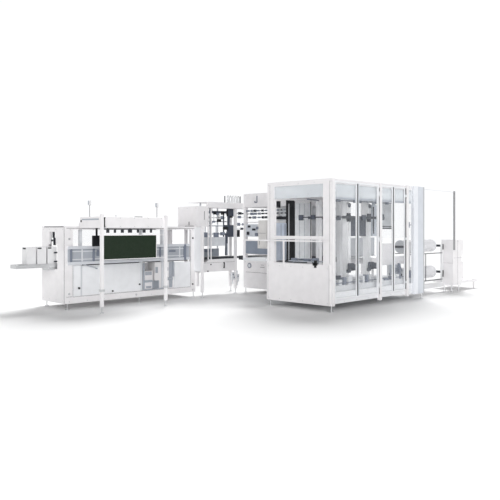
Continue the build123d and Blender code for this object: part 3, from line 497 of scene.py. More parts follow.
def hood_details(hood_top):
    front, left, low = face_at("hood", "Y", 0), face_at("hood", "X", 0), face_at("hood", "Z", 0)
    detail("hood_trim", BLACK, bevel=THIN_BEVEL, blocks=[
        ((-4.643, -4.614), (front - 0.004, front), (1.74, 1.95)),
        ((-3.747, -3.566), (0.88, 0.92), (hood_top, hood_top + 0.017)),
        ((left - 0.005, left), (1.41, 1.46), (1.855, 1.90)),
    ])
    detail("hood_left_band", GREY, bevel=THIN_BEVEL, blocks=[
        ((left - 0.004, left), (0.72, 1.40), (1.895, 1.925)),
    ])
    hung = (
        (-4.50, 0.03), (-4.33, 0.02), (-4.15, 0.03), (-3.96, 0.045), (-3.76, 0.02), (-3.60, 0.03),
        (-3.42, 0.02),
    )
    line, rail_low, rail_top = 0.77, 1.695, 1.712
    detail("hood_underside", DARK, bevel=THIN_BEVEL, blocks=[
        ((-4.675, -3.138), (front + 0.003, front + 0.027), (low - 0.008, low)),
        ((-4.62, -3.30), around(line, 0.02), (rail_low, rail_top)),
    ] + [((x - half, x + half), around(line, 0.03), (1.63, rail_low)) for x, half in hung],
        rods=[rod_z(x, line, (rail_top, 1.935), 0.008) for x in (-4.5, -3.96, -3.42)])
    radius, clamp = 0.03, 0.09
    post_y = face_at("hood_posts", "Y", 0) + radius
    clamps = (
        (face_at("hood_posts", "X", 0) + radius, 0.459, 0.046),
        (face_at("hood_posts", "X", 1) - radius, 0.430, 0.050),
    )
    detail("hood_post_clamps", STEEL, blocks=[
        (around(x, clamp), around(post_y, clamp), around(z, tall)) for x, z, tall in clamps
    ], rods=[along_y(x, post_y - clamp / 2, z, KNOB, 0.012) for x, z, tall in clamps])
    half = 0.025
    masts = (face_at("signal_masts", "X", 0) + half, face_at("signal_masts", "X", 1) - half)
    detail("mast_lamps", GREY, blocks=[
        ((x - half - 0.003, x - half), (1.612, 1.658), (2.24, 2.325)) for x in masts
    ])


def transfer_details():
    front, rear = face_at("transfer_body", "Y", 0), face_at("transfer_body", "Y", 1)
    strut, rail = (rear, rear + 0.025), (rear + 0.010, rear + 0.035)
    detail("transfer_rear_struts", COLUMN, blocks=[
        (x, strut, (1.00, 2.40)) for x in ((-1.00, -0.96), (-0.66, -0.62), (-0.39, -0.36))
    ] + facing(
        rail, ((-1.13, 0.09), (1.90, 1.93)), ((-1.13, 0.09), (2.14, 2.18)), ((-1.00, 0.09), (1.56, 1.60)),
    ))
    detail("transfer_rear_parts", SLATE, blocks=facing(
        (rear - 0.025, rear + 0.012), ((-0.86, -0.74), (1.87, 1.96)), ((-0.55, -0.47), (2.10, 2.20)),
        ((-0.28, -0.18), (1.54, 1.63)), ((-0.06, 0.02), (1.52, 1.64)), ((-0.08, 0.00), (2.11, 2.21)),
        ((-1.09, -1.03), (2.11, 2.21)),
    ))
    gap, gap_y = (-0.12, 0.16), 1.515
    detail("gap_rods", STEEL, rods=[rod_x(gap, gap_y, z, 0.012) for z in (2.13, 1.72)])
    detail("gap_blocks", DARK, blocks=facing(
        around(gap_y, 0.04), ((-0.05, 0.05), (2.10, 2.17)), ((0.07, 0.12), (2.11, 2.15)),
        ((0.03, 0.11), (1.69, 1.75)),
    ))
    gantry_details(gap, gap_y)
    fascia, cabinet = face_at("transfer_roof", "Y", 0), face_at("transfer_end_cabinet", "X", 0)
    detail("transfer_marks", SEAM, bevel=LINE_BEVEL, blocks=[
        (around(-1.245, 0.014), (fascia - 0.003, fascia), (1.945, 2.170)),
        ((cabinet - 0.004, cabinet), (1.66, 2.02), (1.780, 1.792)),
        ((cabinet - 0.004, cabinet), (1.84, 1.87), (1.81, 1.90)),
        ((-1.12, 0.14), (fascia - 0.003, fascia), (2.252, 2.257)),
        ((-1.39, -0.17), (front - 0.003, front), (0.842, 0.847)),
    ])
    handle, grip, foot = around(-0.57, 0.03), front - 0.03, 0.02
    detail("transfer_handle", BLACK, blocks=facing((grip, grip + 0.012), (handle, (0.69, 0.84))) + facing(
        (grip, front), (handle, (0.69, 0.69 + foot)), (handle, (0.84 - foot, 0.84)),
    ), rods=[along_y(x, front, z, 0.012, 0.018) for x, z in ((-1.02, 0.80), (-1.12, 0.63))])
    valve = front + 0.005
    detail("valve_block", PALE_GREY, blocks=[
        ((-0.26, -0.16), (valve, 1.60), (0.36, 0.56)), ((-0.10, 0.00), (valve, 1.59), (0.30, 0.50)),
        ((-0.13, -0.09), (1.50, front), (0.40, 0.60)),
    ], rods=[rod_z(-0.21, 1.57, (0.36, 0.24), 0.018), rod_z(-0.05, 1.56, (0.30, 0.20), 0.018)])
    detail("valve_caps", SLATE, rods=[
        along_y(x, valve, z, 0.015, 0.018) for x, z in ((-0.23, 0.50), (-0.19, 0.42), (-0.05, 0.44))
    ])
    roof, pitch = face_at("transfer_roof", "Z", 1), 0.095
    tops = face_at("transfer_cylinders", "Z", 1)
    detail("cylinder_rods", DARK, rods=[
        rod_z(0.12 - index * pitch, 1.70, (tops - 0.002, tops + 0.020), 0.012) for index in range(5)
    ] + [rod_z(-0.32, 1.76, (roof, 2.60), 0.014), rod_z(0.135, 1.64, (roof, 2.60), 0.014)])


def gantry_details(gap, gap_y):
    hang, cross, slide, top = 1.73, 1.74, 1.72, 2.14
    detail("gantry_light_parts", STEEL, rods=[
        rod_z(-0.84, hang, (1.86, top), 0.009), rod_z(-0.74, hang, (1.90, top), 0.009),
        rod_x((-1.02, -0.32), cross, 2.01, 0.010), rod_z(-0.40, slide, (1.60, top), 0.008),
        rod_x(gap, gap_y, 2.03, 0.012), rod_x(gap, gap_y, 1.84, 0.010),
    ])
    rail_face = 1.70
    detail("gantry_small_blocks", SLATE, blocks=facing(
        around(hang, 0.05), ((-0.87, -0.81), (1.84, 1.90)), ((-0.77, -0.71), (1.88, 1.93)),
    ) + facing(
        around(cross, 0.04), ((-0.98, -0.91), (1.98, 2.05)), ((-0.48, -0.42), (1.97, 2.06)),
    ) + [
        ((-0.43, -0.37), around(slide, 0.04), (1.55, 1.63)),
        ((-0.66, -0.60), (rail_face, rail_face + 0.035), (2.08, 2.13)),
        ((-0.93, -0.868), (rail_face, rail_face + 0.055), (2.12, 2.19)),
    ] + facing(
        around(gap_y, 0.04), ((-0.06, 0.03), (2.00, 2.07)), ((-0.08, 0.00), (1.80, 1.88)),
    ) + facing(around(gap_y, 0.03), ((0.09, 0.13), (1.81, 1.87))))
    plate, plate_rod = (1.690, 1.725), 1.706
    detail("guide_plate_blocks", SLATE, blocks=[
        ((-1.10, -0.97), plate, (1.498, 1.625)), ((-0.76, -0.60), plate, (1.498, 1.620)),
        ((-1.06, -0.58), (1.935, 1.966), (1.110, 1.186)),
    ], rods=[rod_z(x, plate_rod, (1.62, 1.80), 0.010) for x in (-1.06, -0.68)] + [
        ((-1.10, plate_rod, 1.795), (-0.28, 1.690, 1.795), 0.011),
    ])
    detail("gantry_parts", BLACK, blocks=[
        ((-0.625, -0.515), (1.69, 1.74), (1.90, 1.975)), ((-0.10, 0.02), (1.530, 1.570), (1.50, 1.69)),
        ((-0.78, -0.70), (1.685, rail_face), (2.10, 2.165)),
        ((-0.52, -0.40), (1.685, rail_face), (2.09, 2.18)),
        ((-0.36, -0.31), (1.63, 1.65), (2.06, 2.24)),
    ], rods=[
        rod_z(-0.57, 1.715, (1.97, top), 0.010), rod_x((-0.44, -0.30), 1.675, 1.735, 0.042),
        rod_x((-0.25, -0.16), 1.645, 2.04, 0.030),
    ])


def head_details():
    span = (face_at("head_body", "Y", 0), face_at("head_body", "Y", 1))
    cover, sheet = face_at("head_cover", "X", 0), face_at("head_body", "X", 0)
    box = face_at("head_panels", "X", 0)
    levels, rod_at = (2.20, 2.12, 2.02, 1.62), 0.19
    detail("head_rods", STEEL, rods=[rod_y(rod_at, span, z, 0.014) for z in levels])
    detail("head_light_rail", WHITE, blocks=[((0.152, 0.20), span, (1.875, 1.905))] + sideways(
        (cover, cover + 0.008), (span, (1.395, 1.412)), (span, (1.035, 1.050)),
    ))
    dark, slate = [], []
    thick = around(rod_at, 0.05)
    for z in levels:
        y = -0.60
        while y < 1.36:
            width = random.uniform(0.04, 0.11)
            height = random.uniform(0.03, 0.075)
            group = dark if random.random() < 0.6 else slate
            group.append((thick, (y, y + width), around(z, height)))
            y += width + random.uniform(0.03, 0.10)
    small = (
        (1.78, 1.30), (1.70, 1.12), (1.60, 1.34), (1.74, 0.98), (1.57, 1.02), (1.66, 0.40), (1.76, 0.20),
        (1.60, 0.05), (1.70, -0.20), (1.58, -0.42),
    )
    for z, y in small:
        half = random.uniform(0.03, 0.06)
        tall = random.uniform(0.02, 0.045)
        group = dark if random.random() < 0.5 else slate
        group.append(((0.120, 0.163), (y - half, y + half), (z - tall, z + tall)))
    detail("head_clamps", DARK, blocks=dark)
    detail("head_blocks", SLATE, blocks=slate)
    detail("head_box_trim", SEAM, bevel=LINE_BEVEL, blocks=sideways(
        (box - 0.003, box), ((0.63, 0.88), (1.60, 1.606)), ((0.86, 0.872), (1.30, 1.42)),
    ))
    dial_y, dial_z, ring = 1.293, 0.734, 0.014
    detail("head_dial_ring", SLATE, rods=[along_x(sheet, dial_y, dial_z, ring, 0.070)])
    detail("head_dial_face", PALE_GREY, rods=[along_x(sheet - ring + 0.001, dial_y, dial_z, 0.004, 0.045)])
    detail("head_marks", SEAM, bevel=LINE_BEVEL, blocks=sideways(
        (sheet - 0.003, sheet), ((0.74, 0.90), (0.700, 0.712)), ((0.76, 0.88), (0.760, 0.770)),
        ((-0.70, 1.43), (0.552, 0.560)),
    ) + sideways((cover - 0.003, cover), ((-0.78, 1.51), (2.286, 2.292))))
    hook, stem, low, tip = cover - 0.014, 1.0, 2.42, 1.08
    detail("head_cover_hook", SLATE, rods=[
        rod_z(hook, stem, (low, 2.59), 0.013), rod_y(hook, (stem, tip), low, 0.013),
        rod_z(hook, tip, (low, 2.46), 0.013), rod_x((hook, cover), stem, 2.57, 0.010),
        rod_x((hook, cover), stem, 2.45, 0.010),
    ])


def tower_details():
    door_details()
    window_details()
    bed_details()
    mechanism_details()
    left_wall, lower_wall = face_at("tower_posts", "X", 0), face_at("tower_lower_panel", "X", 0)
    upper, lower, raised, line = (1.0, 2.70), (0.15, 0.96), 0.0025, 0.004
    front_joint, rear_joint, rear_post = -2.543, -0.828, -0.868
    detail("post_seams", SEAM, bevel=0.0008, blocks=[
        ((left_wall - raised, left_wall), around(front_joint, line), upper),
        ((lower_wall - raised, lower_wall), around(front_joint, line), lower),
        ((lower_wall - raised, lower_wall), around(rear_joint, line), lower),
        ((left_wall - raised, left_wall), around(rear_post, line), upper),
    ])
    rear_plate_details()
    header = face_at("tower_headers", "Y", 0)
    detail("header_marks", SEAM, bevel=LINE_BEVEL, blocks=[
        ((x, x + 0.006), (header - 0.006, header), (2.385, 2.645)) for x in (-0.40, 0.50, 1.02)
    ])


def door_details():
    posts = face_at("tower_posts", "Y", 0)
    leaf, height = posts + 0.020, (0.28, 2.68)
    wide, narrow = 0.027, 0.017
    strips = (
        (1, BLACK, face_at("door_1", "X", 1) - 0.031, wide),
        (2, GREY, face_at("door_2", "X", 0) + 0.003, narrow),
        (3, BLACK, face_at("door_3", "X", 1) - 0.031, wide),
        (4, BLACK, face_at("door_4", "X", 1) - 0.043, wide),
    )
    for number, material, x, width in strips:
        detail(f"door_{number}_strip", material, blocks=[((x, x + width), (leaf - 0.005, leaf), height)],
               body=f"door_{number}_leaf", bevel=LINE_BEVEL)
    left_post, middle_post, line = face_at("tower_posts", "X", 0) + 0.080, 0.390, 0.004
    detail("door_seals", SEAM, bevel=0.0008, blocks=[
        (around(left_post, line), (posts, leaf), (0.41, 2.64)),
        (around(middle_post, line), (posts + 0.002, leaf - 0.002), (0.25, 2.64)),
    ])


def window_details():
    shelf, bed = 1.000, face_at("tower_bed", "Z", 1)
    shelf_top, leg = shelf + 0.022, (-1.15, -1.12)
    detail("window_shelf", GREY, blocks=[
        ((-1.25, -1.02), (-2.12, -1.33), (shelf, shelf_top)), (leg, (-2.08, -2.05), (bed, shelf)),
        (leg, (-1.40, -1.37), (bed, shelf)),
    ])
    detail("shelf_parts", SLATE, blocks=[
        ((-1.24, -1.14), (-2.10, -1.98), (shelf_top, 1.090)),
        ((-1.22, -1.10), (-1.86, -1.74), (shelf_top, 1.060)),
        ((-1.24, -1.16), (-1.52, -1.40), (shelf_top, 1.075)),
    ], rods=[rod_y(-1.2, (-2.04, -1.46), 1.06, 0.012)])
    sill, clamp = face_at("tower_lower_panel", "X", 0), 0.022
    detail("sill_clamp", BLACK, blocks=[
        ((sill - clamp, sill), around(-2.190, 0.120), (0.945, 1.010)),
        ((sill - clamp, sill + 0.020), around(-2.190, 0.050), (0.90, 1.055)),
    ])
    detail("sill_strip", WHITE, blocks=[((sill - 0.014, sill), (-2.26, -1.16), (0.935, 0.970))])


def bed_details():
    bed = face_at("tower_bed", "Z", 1)
    lid = -2.20
    detail("bed_box", GREY, blocks=[((1.66, 1.99), (lid, -2.075), (bed, 0.835))])
    detail("bed_box_lid", SLATE, blocks=proud(
        lid, ((1.68, 1.97), 0.005, (0.60, 0.61)), ((1.72, 1.80), 0.008, (0.66, 0.76)),
    ))
    detail("bed_brace", SLATE, rods=[((1.84, -2.24, 0.86), (2.06, -2.24, 0.525), 0.013)],
           blocks=[((1.82, 1.86), (-2.26, lid), (bed, 0.87))])
    low_dark, low_grey = [], []
    base, rear = 0.518, -2.36
    x = -1.12
    while x < 2.05:
        width = random.uniform(0.05, 0.16)
        height = random.uniform(0.04, 0.19)
        depth = random.uniform(0.03, 0.07)
        group = random.choice((low_dark, low_grey, low_grey))
        group.append(((x, x + width), (rear - 0.04 - depth, rear), (base, base + height)))
        x += width + random.uniform(0.02, 0.12)
    detail("bed_parts_dark", SLATE, blocks=low_dark, rods=[rod_x((-1.14, 2.0), -2.455, 0.565, 0.010)])
    detail("bed_parts_light", PALE_GREY, blocks=low_grey)


def mechanism_details():
    arm_y, arm_z = -2.265, 1.965
    detail("arm_rods", DARK, rods=[
        rod_x((-1.16, -0.50), arm_y, 1.955, 0.011), rod_x((-1.16, -0.50), arm_y, 1.985, 0.009),
        rod_y(-1.10, (-2.27, -1.55), arm_z, 0.011), rod_y(-0.86, (-2.27, -1.70), arm_z, 0.009),
    ])
    front = around(arm_y, 0.07)
    carriage = face_at("tower_carriage", "Y", 0)
    detail("arm_clamps", MOTOR, blocks=facing(
        front, ((-1.14, -1.06), (1.92, 2.02)), ((-0.90, -0.82), (1.93, 2.03)), ((-0.70, -0.64), (1.90, 2.00)),
    ) + [
        ((-1.13, -1.07), (-1.62, -1.52), (1.90, 2.02)), ((-0.89, -0.83), (-1.76, -1.66), (1.92, 2.02)),
        ((-1.12, -1.08), (-1.95, -1.89), (1.93, 2.00)),
    ] + proud(
        carriage, ((0.15, 0.28), 0.035, (1.90, 2.03)), ((0.75, 0.86), 0.035, (1.88, 2.02)),
        ((0.95, 1.03), 0.035, (1.92, 2.06)),
    ))
    guide, stay, tall = (-1.216, -1.204), 0.04, (1.03, 1.49)
    detail("outlet_rear_guide", COLUMN, blocks=[((1.20, 2.30), guide, tall)] + [
        ((x, x + stay), (guide[0] - 0.020, guide[0]), tall) for x in (1.22, 1.56, 1.90, 2.24)
    ])
    detail("bay_sensor", SLATE, blocks=[((1.67, 1.84), (-2.53, -2.475), (1.745, 1.880))], rods=[
        rod_z(1.75, -2.516, (1.87, 2.640), 0.010), ((1.84, -2.50, 1.81), (1.90, -2.54, 1.81), 0.010),
    ])
    beam, beam_y = (2.30, 2.40), -2.20
    hung = ((-1.05, 0.10), (-0.70, 0.16), (-0.02, 0.12), (0.18, 0.08), (0.86, 0.14), (1.30, 0.10))
    detail("beam_parts", SLATE, blocks=[
        ((start, start + length), around(beam_y, 0.04), beam) for start, length in hung
    ], rods=[
        rod_x((-1.10, 1.60), beam_y, 2.335, 0.010), ((-0.92, -1.60, 2.37), (-0.26, -1.40, 2.37), 0.014),
    ])


def rear_plate_details():
    curtain = face_at("tower_curtain", "Y", 0)
    plate, full, short = curtain - 0.005, (1.02, 2.31), (1.02, 1.83)
    detail("curtain_gap", PALE_GREY, bevel=LINE_BEVEL, blocks=[
        ((-0.690, -0.665), (curtain - 0.0035, curtain), (1.0, 2.30)),
    ])
    detail("rear_plate_lines", SLATE, bevel=LINE_BEVEL, blocks=facing(
        (plate - 0.003, plate), ((-0.300, -0.292), full), ((-0.120, -0.114), full), ((-1.140, -1.130), short),
        ((-0.960, -0.945), short), ((-0.830, -0.800), short),
    ))
    detail("rear_rod", BLACK, rods=[
        rod_z(0.115, plate - 0.001, (1.0, 2.37), 0.010), rod_z(-0.475, curtain, (1.0, 2.37), 0.010),
    ])
    guide, rear_guide = (-1.822, -1.810), (-1.910, -1.900)
    bars, stays = (1.765, 2.165), (1.60, 2.25)
    detail("side_guide_bars", DARK, blocks=facing(
        guide, (bars, (1.712, 1.740)), (bars, (1.765, 1.785)),
    ) + facing(rear_guide, ((1.20, 1.24), stays), ((1.52, 1.56), stays)))


def film_details():
    radius = (face_at("film_rolls", "Y", 1) - face_at("film_rolls", "Y", 0)) / 2
    axis_y = face_at("film_rolls", "Y", 0) + radius
    heights = (face_at("film_rolls", "Z", 0) + radius, face_at("film_rolls", "Z", 1) - radius)
    disc, inner = 0.027, 4.085
    detail("roll_end_discs", PALE_GREY, rods=[
        rod_x((x, x + disc), axis_y, z, radius + 0.007) for x in (inner, 2.516) for z in heights
    ])
    hub_end, rail = face_at("film_rolls", "X", 1), face_at("film_rails", "Y", 0)
    bracket, post = (4.174, 4.226), rail - 0.008
    detail("roll_end_brackets", BLACK, blocks=facing(
        (post, rail), (bracket, (1.15, 1.30)), (bracket, (0.40, 0.58)),
    ))
    detail("roll_hubs", SEAM, rods=[rod_x((inner + disc, hub_end), axis_y, z, 0.06) for z in heights])
    detail("film_guide_rod", DARK, bevel=THIN_BEVEL, blocks=[
        ((3.27, 3.285), (rail + 0.005, rail + 0.020), (0.347, 1.051)),
    ])
    cabinet_front, cabinet_left = face_at("film_cabinet", "Y", 0), face_at("film_cabinet", "X", 0)
    bumper = (face_at("film_cabinet", "X", 1) - 0.002, 4.895)
    detail("cabinet_bumpers", WHITE, bevel=0.026, blocks=sideways(
        bumper, ((-2.43, -2.13), (0.98, 1.41)), ((-2.43, -2.13), (0.27, 0.80)),
    ))
    arm, arm_y = (bumper[1] - 0.005, 5.06), around(-2.29, 0.02)
    detail("cabinet_arms", PALE_GREY, blocks=[(arm, arm_y, around(z, 0.02)) for z in (1.05, 0.34)])
    detail("pane_top_trim", PALE_GREY, bevel=THIN_BEVEL, blocks=[
        ((2.381, 4.259), around(-2.470, 0.014), (2.715, 2.724)),
    ])
    detail("cabinet_seams", SEAM, bevel=LINE_BEVEL, blocks=[
        ((4.52, 4.524), (cabinet_front - 0.003, cabinet_front), (0.18, 1.41)),
        ((cabinet_left - 0.004, cabinet_left), (-2.44, -2.12), (0.78, 0.784)),
        ((4.30, 4.76), (cabinet_front - 0.002, cabinet_front), (0.92, 0.924)),
    ])
    table_top, pitch = face_at("discharge_table", "Z", 1), 0.12
    detail("table_rollers", STEEL, rods=[
        rod_y(4.86 + index * pitch, (-2.36, -1.60), table_top - 0.002, 0.012) for index in range(9)
    ])


# Bolts, handles and seams that sit on whatever face of the line a straight line meets first
BOLTED = (
    "tower_posts", "tower_base_beams", "tower_top_beams", "tower_roof", "tower_lower_panel",
    "collator_end_wall", "collator_stiles", "collator_beams", "collator_roof", "collator_panels", "hood",
    "head_cover", "head_body", "transfer_posts", "transfer_roof", "transfer_end_cabinet", "transfer_body",
    "film_cabinet", "film_frame",
)
FRONT, REAR = Vector((0, 1, 0)), Vector((0, -1, 0))
LEFT, RIGHT, DOWN = Vector((1, 0, 0)), Vector((-1, 0, 0)), Vector((0, 0, -1))
# Where the straight lines start, clear of the line
AHEAD, BEHIND, ABOVE, FAR_LEFT, FAR_RIGHT = -3, 3, 3, -6.2, 6.2


def node_trees():
    trees = []
    for name, piece in nodes.items():
        mesh = bmesh.new()
        mesh.from_mesh(piece.data)
        mesh.transform(piece.matrix_world)
        trees.append((name, BVHTree.FromBMesh(mesh)))
        mesh.free()
    return trees


def first_face(trees, origin, heading):
    """The nearest face square to a line, if it belongs to a bolted node."""
    best = None
    for name, tree in trees:
        point, normal, _, distance = tree.ray_cast(origin, heading)
        if point is not None and (best is None or distance < best[0]):
            best = (distance, name, point, normal)
    if best is None or best[1] not in BOLTED or abs(best[3].dot(heading)) < 0.99:
        return None
    return best[2]


def inset(node, axis, low, high):
    """A node's range along an axis, less a margin at each end."""
    return (face_at(node, axis, 0) + low, face_at(node, axis, 1) - high)


def row_x(heading, x, y, z, count):
    """A row of bolts over a range of x: how it is looked at, its two ends and the number of bolts."""
    return (heading, (x[0], y, z), (x[1], y, z), count)


def row_y(heading, x, y, z, count):
    """The same over a range of y."""
    return (heading, (x, y[0], z), (x, y[1], z), count)


def front_rows(base, top):
    rows = [row_x(FRONT, inset("tower_posts", "X", 0.04, 0.08), AHEAD, z, 9) for z in (base, top)]
    rows += [
        row_x(FRONT, inset("collator_beams", "X", 0.08, 0.09), AHEAD, 0.17, 9),
        row_x(FRONT, inset("collator_beams", "X", 0.10, 0.09), AHEAD, 1.70, 7),
        row_x(FRONT, inset("transfer_body", "X", 0.04, 0.04), AHEAD, 0.66, 5),
        row_x(FRONT, inset("transfer_roof", "X", 0.04, 0.04), AHEAD, 2.38, 5),
        row_x(FRONT, inset("film_cabinet", "X", 0.04, 0.04), AHEAD, 0.22, 3),
        row_x(FRONT, inset("film_cabinet", "X", 0.08, 0.04), AHEAD, 1.37, 3),
    ]
    return rows + [row_x(FRONT, (-4.60, -3.20), AHEAD, z, 5) for z in (1.76, 1.94)]


def left_rows(base, top):
    before_cabinet, before_head = -1.7, -0.2
    collator = inset("collator_beams", "Y", 0.06, 0.06)
    cabinet = inset("transfer_end_cabinet", "Y", 0.06, 0.04)
    rows = [row_y(LEFT, FAR_LEFT, inset("tower_lower_panel", "Y", 0.06, 0.06), z, 6) for z in (0.18, 0.90)]
    rows += [row_y(LEFT, FAR_LEFT, inset("tower_posts", "Y", 0.04, 0.04), top, 5)]
    rows += [row_y(LEFT, FAR_LEFT, collator, z, 4) for z in (base, 1.70)]
    rows += [row_y(LEFT, before_cabinet, cabinet, z, 3) for z in (1.82, 2.24)]
    head = inset("head_cover", "Y", 0.07, 0.07)
    return rows + [row_y(LEFT, before_head, head, z, 6) for z in (0.18, 0.83, 2.33, 2.62)]


def rear_rows(base, top):
    tower, head = inset("tower_posts", "X", 0.04, 0.08), inset("head_cover", "X", 0.05, 0.05)
    collator = inset("collator_beams", "X", 0.05, 0.08)
    cabinet = inset("transfer_end_cabinet", "X", 0.05, 0.05)
    rows = [row_x(REAR, collator, BEHIND, z, 9) for z in (0.18, 0.86, 1.71)]
    rows += [row_x(REAR, head, BEHIND, z, 4) for z in (0.20, 2.34)]
    rows += [row_x(REAR, cabinet, BEHIND, z, 2) for z in (1.82, 2.24)]
    return rows + [row_x(REAR, (1.70, tower[1]), BEHIND, base, 3), row_x(REAR, tower, BEHIND, top, 9)]


def right_rows(base, top):
    right_of_tower, right_of_head = 3.0, 2.0
    film, tower = inset("film_cabinet", "Y", 0.04, 0.04), inset("tower_posts", "Y", 0.04, 0.04)
    head = inset("head_cover", "Y", 0.19, 0.07)
    rows = [row_y(RIGHT, FAR_RIGHT, film, z, 2) for z in (0.22, 1.37)]
    rows += [row_y(RIGHT, right_of_tower, tower, z, 5) for z in (base, top)]
    return rows + [row_y(RIGHT, right_of_head, head, z, 5) for z in (0.20, 2.34)]


def roof_rows():
    tower, collator = inset("tower_posts", "X", 0.04, 0.05), inset("collator_roof", "X", 0.05, 0.05)
    head, cabinet = inset("head_cover", "Y", 0.09, 0.07), inset("transfer_end_cabinet", "Y", 0.05, 0.05)
    rows = [row_x(DOWN, tower, y, ABOVE, 10) for y in inset("tower_posts", "Y", 0.05, 0.05)]
    rows += [row_x(DOWN, collator, y, ABOVE, 9) for y in inset("collator_beams", "Y", 0.06, 0.06)]
    rows += [row_y(DOWN, x, head, ABOVE, 6) for x in inset("head_cover", "X", 0.05, 0.05)]
    return rows + [
        row_y(DOWN, face_at("transfer_end_cabinet", "X", 0) + 0.04, cabinet, ABOVE, 3),
        row_x(DOWN, (-4.68, -3.13), 0.76, ABOVE, 5),
    ]


def add_bolts(trees):
    washer, head, thin, height = 0.011, 0.007, 0.002, 0.006
    base, top = 0.19, 2.69
    rows = front_rows(base, top) + left_rows(base, top) + rear_rows(base, top) + right_rows(base, top)
    mesh = bmesh.new()
    for heading, start, end, count in rows + roof_rows():
        turn = (-heading).to_track_quat("Z", "Y").to_matrix().to_4x4()
        for index in range(count):
            origin = Vector(start).lerp(Vector(end), index / (count - 1))
            face = first_face(trees, origin, heading)
            if face is None or -heading.dot(face) > outer_limit(heading):
                continue
            for radius, low, high, sides in ((washer, 0, thin, 14), (head, thin, height, 6)):
                place = Matrix.Translation(face - heading * (low + high) / 2) @ turn
                bmesh.ops.create_cone(mesh, cap_ends=True, segments=sides, radius1=radius,
                                      radius2=radius * 0.9, depth=high - low, matrix=place)
    add_mesh("frame_bolts", STEEL, mesh)


def outer_limit(heading):
    """How far out a bolt's face may lie and still leave room for its head inside the overall box."""
    margin = 0.007
    outer = [max((-heading[axis]) * cad_low[axis], (-heading[axis]) * cad_high[axis]) for axis in range(3)]
    return sum(outer) - margin


def rear_details(trees):
    handles, posts, seams, slots = [], [], [], []
    reach, grip, half, post = 0.034, 0.010, 0.08, 0.065
    slot, pitch, slot_high, lowest = 0.12, 0.022, 0.008, 0.26
    for x, z in ((-4.30, 0.56), (-3.30, 0.56), (-2.30, 0.56), (0.60, 0.50), (1.10, 0.50)):
        face = first_face(trees, Vector((x, BEHIND, z)), REAR)
        if face is None or face.y > cad_high[1] - reach - 0.001:
            continue
        outer = face.y + reach
        handles.append(((x - half, x + half), (outer - grip, outer), (z - 0.008, z + 0.008)))
        posts += [((x + side, face.y, z), (x + side, face.y + 0.028, z), 0.006) for side in (-post, post)]
        rises = [z - lowest + step * pitch for step in range(6)]
        slots += [((x - slot, x + slot), (face.y, face.y + 0.002), (low, low + slot_high)) for low in rises]
    line, raised, spare = 0.002, 0.0015, 0.003
    for x in (-4.80, -3.80, -2.80, -1.80):
        face = first_face(trees, Vector((x, BEHIND, 0.56)), REAR)
        if face is not None and face.y < cad_high[1] - spare:
            seams.append(((x - line, x + line), (face.y, face.y + raised), (0.30, 0.80)))
    roofs = [(x, 2.1, (1.64, 2.58)) for x in (-3.9, -2.7)]
    roofs += [(x, -1.7, (-2.55, -0.86)) for x in (-0.15, 1.05)]
    for x, y, length in roofs:
        face = first_face(trees, Vector((x, y, ABOVE)), DOWN)
        if face is not None and face.z < cad_high[2] - spare:
            seams.append(((x - line, x + line), length, (face.z, face.z + raised)))
    if handles:
        detail("rear_handles", DARK, blocks=handles, rods=posts)
        detail("rear_vents", SEAM, blocks=slots, bevel=0.0006)
    if seams:
        detail("panel_seams", SEAM, blocks=seams, bevel=0.0005)


# Floor, background and lights
FLOOR_HALF = 60
FLOOR_LOW, FLOOR_HIGH = 0.93, 0.95
SKY_COLOUR = (0.985, 0.99, 1.0, 1)
SKY_LIGHT, SKY_SEEN = 0.30, 1.04
LAMP_HEIGHT = 8
LAMPS = (
    ("back_light", (-0.58, -0.34, -0.74), 2.95, 0.55),
    ("front_light", (0.66, 0.75, -0.08), 2.85, 1.0),
)


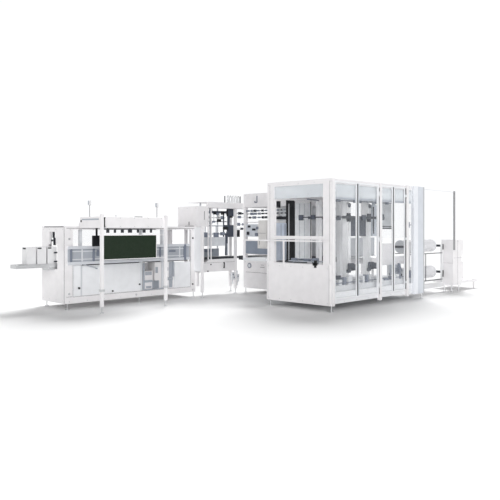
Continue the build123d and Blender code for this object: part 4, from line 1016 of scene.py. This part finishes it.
def make_stage():
    mesh = bpy.data.meshes.new("floor")
    corners = [(x * FLOOR_HALF, y * FLOOR_HALF, 0) for x, y in ((-1, -1), (1, -1), (1, 1), (-1, 1))]
    mesh.from_pydata(corners, [], [(0, 1, 2, 3)])
    floor = bpy.data.objects.new("floor", mesh)
    scene.collection.objects.link(floor)
    material, tree, shader = new_material("floor_white")
    cloud = noise(tree, 0.6)
    tint = ramp(tree, cloud, ((LOW_STOP, (FLOOR_LOW,) * 3), (HIGH_STOP, (FLOOR_HIGH,) * 3)))
    tree.links.new(tint.outputs["Color"], shader.inputs["Base Color"])
    shader.inputs["Roughness"].default_value = 0.9
    shader.inputs["Specular IOR Level"].default_value = 0.0
    mesh.materials.append(material)


def make_sky():
    """A white background that is bright where it is seen and lights the line more softly."""
    world = bpy.data.worlds.new("studio")
    scene.world = world
    world.use_nodes = True
    tree = world.node_tree
    tree.nodes.clear()
    output = tree.nodes.new("ShaderNodeOutputWorld")
    background = tree.nodes.new("ShaderNodeBackground")
    background.inputs["Color"].default_value = SKY_COLOUR
    path = tree.nodes.new("ShaderNodeLightPath")
    seen = tree.nodes.new("ShaderNodeMath")
    seen.operation = "MAXIMUM"
    tree.links.new(path.outputs["Is Camera Ray"], seen.inputs[0])
    tree.links.new(path.outputs["Is Transmission Ray"], seen.inputs[1])
    strength = tree.nodes.new("ShaderNodeMapRange")
    strength.inputs["To Min"].default_value = SKY_LIGHT
    strength.inputs["To Max"].default_value = SKY_SEEN
    tree.links.new(seen.outputs[0], strength.inputs["Value"])
    tree.links.new(strength.outputs["Result"], background.inputs["Strength"])
    tree.links.new(background.outputs["Background"], output.inputs["Surface"])


def make_lamps():
    for name, heading, power, angle in LAMPS:
        data = bpy.data.lights.new(name, "SUN")
        data.energy = power
        data.angle = angle
        lamp = bpy.data.objects.new(name, data)
        lamp.location = (0, 0, LAMP_HEIGHT)
        lamp.rotation_euler = Vector(heading).to_track_quat("-Z", "Y").to_euler()
        scene.collection.objects.link(lamp)


make_camera()
dress_nodes()
collator_details()
transfer_details()
head_details()
tower_details()
film_details()
faces = node_trees()
add_bolts(faces)
rear_details(faces)
make_stage()
make_sky()
make_lamps()
